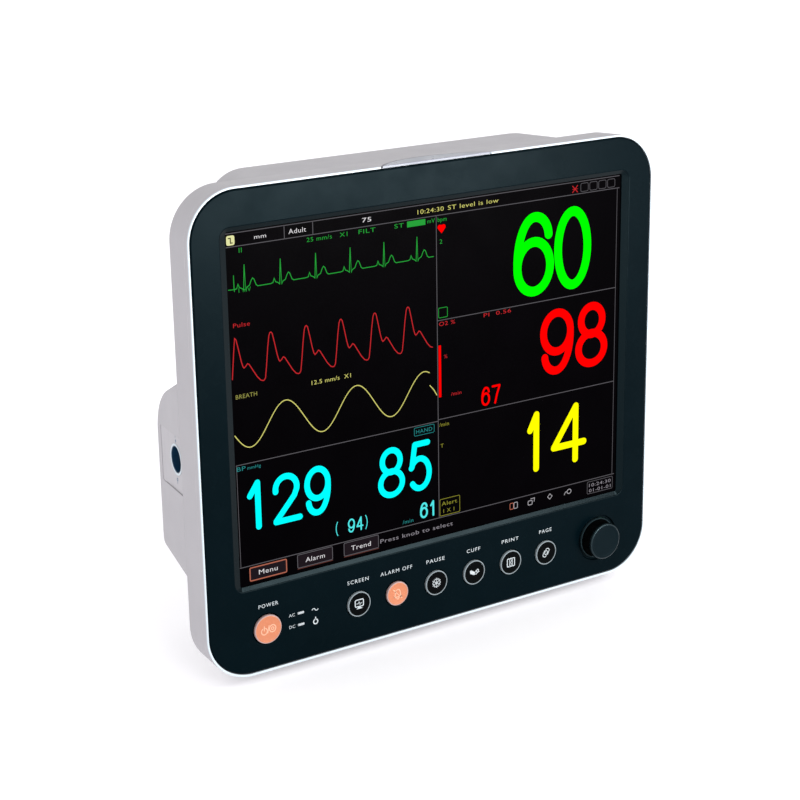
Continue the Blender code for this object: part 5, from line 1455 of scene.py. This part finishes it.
def sensor_connector(name, z, radius):
    place = spot(-SENSOR_DEEP, 0.0, z, "right", RIGHT_SIDE)
    port = name == "nibp_port"
    height, bore = (5.5, 2.2) if port else (2.0, radius - 1.2)
    edge = 0.35
    rim = [(radius - edge + edge * math.sin(turn), height - edge + edge * math.cos(turn))
           for turn in (0, 0.8, QUARTER_TURN)]
    profile = [(0.0, -8.0), (bore, -8.0), (bore, height - 0.3), (bore + 0.3, height)] + rim
    if port:
        for step in range(3):
            ridge = 4.4 - 1.3 * step
            profile += [(radius, ridge), (radius - 0.5, ridge - 0.5), (radius, ridge - 1.0)]
    profile += [(radius, 0.9), (radius + 1.2, 0.9), (radius + 1.2, 0.3), (radius, 0.3), (radius, -11.0)]
    shell = turned(name + "_shell", profile + [(0.0, -11.0)], place, 64)
    finish, slot = {
        "spo2_socket": (BLUE, "socket_blue"), "nibp_port": (BRASS, "brass"),
    }.get(name, (GREY, "grey_plastic"))
    finished(shell, finish, replaces=[name])
    if port:
        return
    count = 7 if name == "spo2_socket" else 2
    for i in range(count):
        angle = 2 * math.pi * i / count
        reach = bore * 0.55
        pin = turned("%s_pin_%d" % (name, i + 1), [
            (0.0, -0.6), (0.3, -0.8), (0.5, -1.4), (0.5, -8.0), (0.0, -8.0),
        ], shifted(place, reach * math.cos(angle), reach * math.sin(angle), 0.0), 20)
        finished(pin, BRASS)


HINGE_X, HINGE_Y = -3.6, 11.8
DOOR_THICK, DOOR_FREE_EDGE = 2.2, -12.0
PLATEN_X, PLATEN_Y, PAPER_W = -6.4, -7.4, 50.0


def recorder():
    """Side recorder: frame and hinged door with its pull and tear edge."""
    z = RECORDER_Z
    tub = block("recorder_tub", (RECORDER_DEEP, RECORDER_W, RECORDER_H),
                spot(-RECORDER_DEEP / 2 - GAP, RECORDER_Y, z, side=RIGHT_SIDE), 0.6)
    space = block("tool", (RECORDER_DEEP, RECORDER_W - 3.2, RECORDER_H - 4.0),
                  spot(-RECORDER_DEEP / 2 + 1.6, RECORDER_Y, z, side=RIGHT_SIDE), 0.0)
    finished(carved(tub, space), GREY, replaces=["recorder_frame"])
    inside = RECORDER_H - 4.0 - 1.2
    door_end = HINGE_Y + 0.4
    door = block("recorder_lid", (DOOR_THICK, door_end - DOOR_FREE_EDGE, inside),
                 spot(-GAP - DOOR_THICK / 2, (door_end + DOOR_FREE_EDGE) / 2, z, side=RIGHT_SIDE), 0.5, 4)
    for end in (-1, 1):
        ear = rod("ear", 2.9, 2.5, -2.5,
                  spot(HINGE_X, HINGE_Y, z + end * (inside / 2 - 2.6), side=RIGHT_SIDE), 48)
        arm = block("arm", (7.6, 6.0, 2.4),
                    spot(-5.6, PLATEN_Y, z + end * (PAPER_W / 2 + 4.2), side=RIGHT_SIDE), 0.3)
        joined(door, ear, arm)
    bores = [
        rod("tool", radius, 45.0, -45.0, spot(x, y, z, side=RIGHT_SIDE))
        for radius, x, y in ((1.35, HINGE_X, HINGE_Y), (1.5, PLATEN_X, PLATEN_Y))
    ]
    slit = block("tool", (12.0, 1.6, PAPER_W + 2.0), spot(-1.0, DOOR_FREE_EDGE, z, side=RIGHT_SIDE), 0.0)
    pull = side_tool((8.0, 22.0), 3.9, (-5.2, z), 1.2, RIGHT_SIDE, 0.5)
    pull.data.transform(RIGHT_SIDE @ Matrix.Translation((-GAP * MM, 0.0, 0.0)) @ RIGHT_SIDE.inverted())
    carved(door, *bores, slit, pull)
    finished(door, PANEL, "recorder_door", ["recorder_door"])


# --- back and underside

def ac_inlet():
    """Mains inlet with rounded blades, and its fuse drawer."""
    flange, back = 2.0, POCKET_FACE + GAP
    face = back + flange
    centre = (INLET_X, INLET_Z)
    body = flange_form("mains_inlet", (INLET_W, INLET_H), 1.0, centre, back, flange, 2.5, 0.6)
    joined(body, block("body", (INLET_W, 28.0, INLET_H), spot(INLET_X, POCKET_FACE - 13.0, INLET_Z), 0.5))
    carved(body, mouth_tool((24.2, 16.4), 3.0, (INLET_X, INLET_Z + 8.0), face, 17.0, 0.5, inward=-1),
           block("tool", (22.6, 24.0, 10.6), spot(INLET_X, POCKET_FACE - 5.0, FUSE_Z), 0.0))
    finished(body, INLET, replaces=["ac_inlet"])
    for i, (dx, dz) in enumerate(((-7.0, -2.0), (0.0, 2.2), (7.0, -2.0))):
        blade = block("inlet_blade_%d" % (i + 1), (2.0, 15.0, 4.0),
                      spot(INLET_X + dx, POCKET_FACE - 9.0, INLET_Z + 8.0 + dz), 0.5, 4)
        finished(blade, BRASS)
    drawer = block("fuse_tray", (22.0, 18.0, 10.0), spot(INLET_X, POCKET_FACE - 5.6, FUSE_Z), 0.6, 4)
    notch = block("tool", (8.0, 3.0, 2.0), spot(INLET_X, POCKET_FACE + 3.2, FUSE_Z + 5.0), 0.2)
    ribs = [block("tool", (0.7, 0.8, 6.0), spot(INLET_X + dx, POCKET_FACE + 3.5, FUSE_Z - 0.6), 0.1)
            for dx in (-8.0, -6.5, 6.5, 8.0)]
    carved(drawer, notch, *ribs)
    finished(drawer, GREY, "fuse_drawer", ["fuse_drawer"])


def ports():
    """Network and data sockets with their contacts."""
    for name, (x, z, width, height) in PORTS.items():
        shell = block(name + "_case", (width, 18.0, height), spot(x, POCKET_FACE - 8.2, z), 0.4, 3)
        mouth = back_tool((width - 2.2, height - 2.2), 0.4, (x, z), 9.2, 0.3, POCKET_FACE + 0.8)
        carved(shell, mouth)
        finished(shell, STEEL, replaces=[name])
        if name == "network_port":
            for i in range(8):
                pin = block("network_contact_%d" % (i + 1), (0.45, 5.0, 0.3),
                            spot(x - 3.55 + 1.02 * i, POCKET_FACE - 4.0, z - height / 2 + 2.4), 0.1)
                finished(pin, BRASS)
        else:
            tongue = block(
                "data_tongue", (1.8, 6.0, height - 4.0), spot(x - 0.6, POCKET_FACE - 4.4, z), 0.3,
            )
            finished(tongue, INLET)


def ground_post():
    profile = [(0.0, 8.5), (2.0, 8.5), (2.5, 8.35), (2.9, 7.9), (3.0, 7.4)]
    for ring in range(4):
        profile += [(3.0, 6.9 - ring), (2.7, 6.7 - ring), (3.0, 6.4 - ring)]
    profile += [(3.0, 2.0), (6.1, 2.0), (6.4, 1.8), (6.5, 1.4), (6.5, 0.3), (4.1, 0.3), (4.1, -6.0)]
    post = turned("earth_post", profile + [(0.0, -6.0)], spot(POST_X, POCKET_FACE, POST_Z, "back"), 64)
    finished(post, BRASS, replaces=["ground_post"])


def battery_door():
    """Battery door with a thumb notch and grip ridges."""
    top, bottom = BATTERY_HIGH - 0.5, BATTERY_LOW + 0.2
    door = block("battery_lid", (BATTERY_W - 0.4, 2.4, top - bottom),
                 spot(BATTERY_X, BULGE_BACK - 1.5, (top + bottom) / 2), 0.5, 4)
    hinge = spot(BATTERY_X, BULGE_BACK - 2.3, BATTERY_HIGH - 3.0, "right")
    joined(door, rod("barrel", 2.0, 50.0, -50.0, hinge, 48))
    bore = rod("tool", 1.3, 60.0, -60.0, hinge)
    face = BULGE_BACK - 0.3
    notch = back_tool((18.0, 6.0), 2.9, (BATTERY_X, BATTERY_LOW + 7.0), 1.1, 0.3, face)
    ridges = [back_tool((14.0, 0.8), 0.39, (BATTERY_X, BATTERY_LOW + 12.5 + 2.0 * i), 0.5, 0.15, face, 4)
              for i in range(4)]
    carved(door, bore, notch, merged("tools", ridges))
    finished(door, PANEL, "battery_door", ["battery_door"])


def feet():
    """Rubber feet with a ring groove underneath."""
    height = MAIN_BOTTOM - FOOT_BOTTOM
    for name, (x, depth) in {
        "front_left": (-112.0, 38.0), "front_right": (112.0, 38.0),
        "rear_left": (-88.0, 97.0), "rear_right": (88.0, 97.0),
    }.items():
        foot = turned("pad_" + name, [
            (0.0, -GAP), (9.2, -GAP), (9.5, -0.6), (9.1, -height + 1.6), (8.8, -height + 0.7),
            (8.2, -height + 0.15), (7.6, -height), (6.4, -height), (6.1, -height + 0.7),
            (5.3, -height + 0.7), (5.0, -height), (0.0, -height),
        ], spot(x, depth, MAIN_BOTTOM))
        finished(foot, RUBBER, replaces=["foot_" + name])


# --- carried-over nodes

CARRIED = {
    "lcd_panel": GLASS, "screen_gasket": RUBBER, "alarm_board": BOARD, "key_board": BOARD,
    "rotary_encoder": STEEL, "encoder_nut": BRASS, "encoder_shaft": STEEL, "encoder_plunger": RUBBER,
    "chassis_plate": STEEL, "main_board": BOARD, "power_supply": BOARD, "parameter_module": CASE,
    "nibp_pump": STEEL, "nibp_valve": GREY, "speaker": RUBBER, "battery_bay": GREY,
    "battery_pack": INLET, "battery_hinge_pin": STEEL, "mount_plate": STEEL,
    "recorder_hinge_pin": STEEL, "platen_roller": RUBBER, "paper_roll": PAPER, "paper_spindle": GREY,
    "thermal_head": STEEL,
}


def carried_nodes():
    """Finishes and small bevels for the parts kept as the frame has them."""
    for name, finish in CARRIED.items():
        piece = NODES[name]
        piece.data.materials.clear()
        piece.data.materials.append(finish)
        weld = piece.modifiers.new("Weld", "WELD")
        weld.merge_threshold = 0.00001
        bevel = piece.modifiers.new("Bevel", "BEVEL")
        bevel.width = 0.15 * MM
        bevel.segments = 2
        bevel.limit_method = "ANGLE"
        bevel.angle_limit = math.radians(40.0)


# --- stage

def stage():
    """White floor under a white sky, with four soft lights."""
    bpy.ops.mesh.primitive_plane_add(size=14.0)
    floor = bpy.context.object
    floor.name = "studio_floor"
    floor.location.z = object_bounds()[0].z - 0.0002
    white = (1.0, 1.0, 1.0, 1.0)
    paint = surface("floor", (0.90, 0.89, 0.915), 0.6, specular=0.05, mottle=0.003, bump=0.0)
    tree = paint.node_tree
    fed(tree.nodes["Principled BSDF"], tree, Emission_Color=white, Emission_Strength=0.22)
    floor.data.materials.append(paint)
    floor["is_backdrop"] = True
    world = bpy.data.worlds.new("studio")
    bpy.context.scene.world = world
    world.use_nodes = True
    fed(world.node_tree.nodes["Background"], world.node_tree, Color=white, Strength=1.0)
    area_light("key_light", (-0.40, -1.66, 1.12), (0.0, 0.0, 0.12), (0.5, 0.5), 4.0)
    area_light("sheen_light", (0.58, -1.35, 0.11), (-0.05, 0.0, 0.28), (0.8, 0.18), 15.5)
    area_light("slope_light", (0.97, -1.28, 1.10), (0.0, 0.0, 0.06), (0.8, 0.25), 7.0)
    area_light("left_light", (-2.00, -0.10, 0.35), (0.0, 0.0, 0.16), (1.0, 0.5), 5.0)
    bpy.context.scene.view_settings.view_transform = "Standard"


def area_light(name, place, target, size, power):
    """A soft lamp, its size in metres and its power in watts."""
    light = bpy.data.lights.new(name, "AREA")
    light.shape = "RECTANGLE"
    light.size, light.size_y = size
    light.energy = power
    lamp = bpy.data.objects.new(name, light)
    lamp.location = place
    lamp.rotation_euler = (Vector(target) - Vector(place)).to_track_quat("-Z", "Y").to_euler()
    bpy.context.scene.collection.objects.link(lamp)


def camera():
    """The view from the front, a little above and from the monitor's left side."""
    view = bpy.data.cameras.new("camera")
    view.lens = 84.907
    view.sensor_width = 36.0
    eye = bpy.data.objects.new("camera", view)
    eye.location = (-0.667247, -1.029968, 0.537892)
    eye.rotation_euler = tuple(math.radians(turn) for turn in (72.542114, 0.898299, -33.299201))
    bpy.context.scene.collection.objects.link(eye)
    bpy.context.scene.camera = eye


front_bezel()
window_slope()
trim_ring()
mid_frame()
alarm_light()
for key_name, key_x in KEYS.items():
    key_cap(key_name, key_x)
key_marks()
bezel_legends()
power_lights()
knob_well()
rotary_knob()
display_picture()
rear_housing()
rear_fixings()
grip_cup()
socket_panel()
ecg_socket()
sensor_panel()
recorder()
ac_inlet()
ports()
ground_post()
battery_door()
feet()
carried_nodes()
stage()
camera()
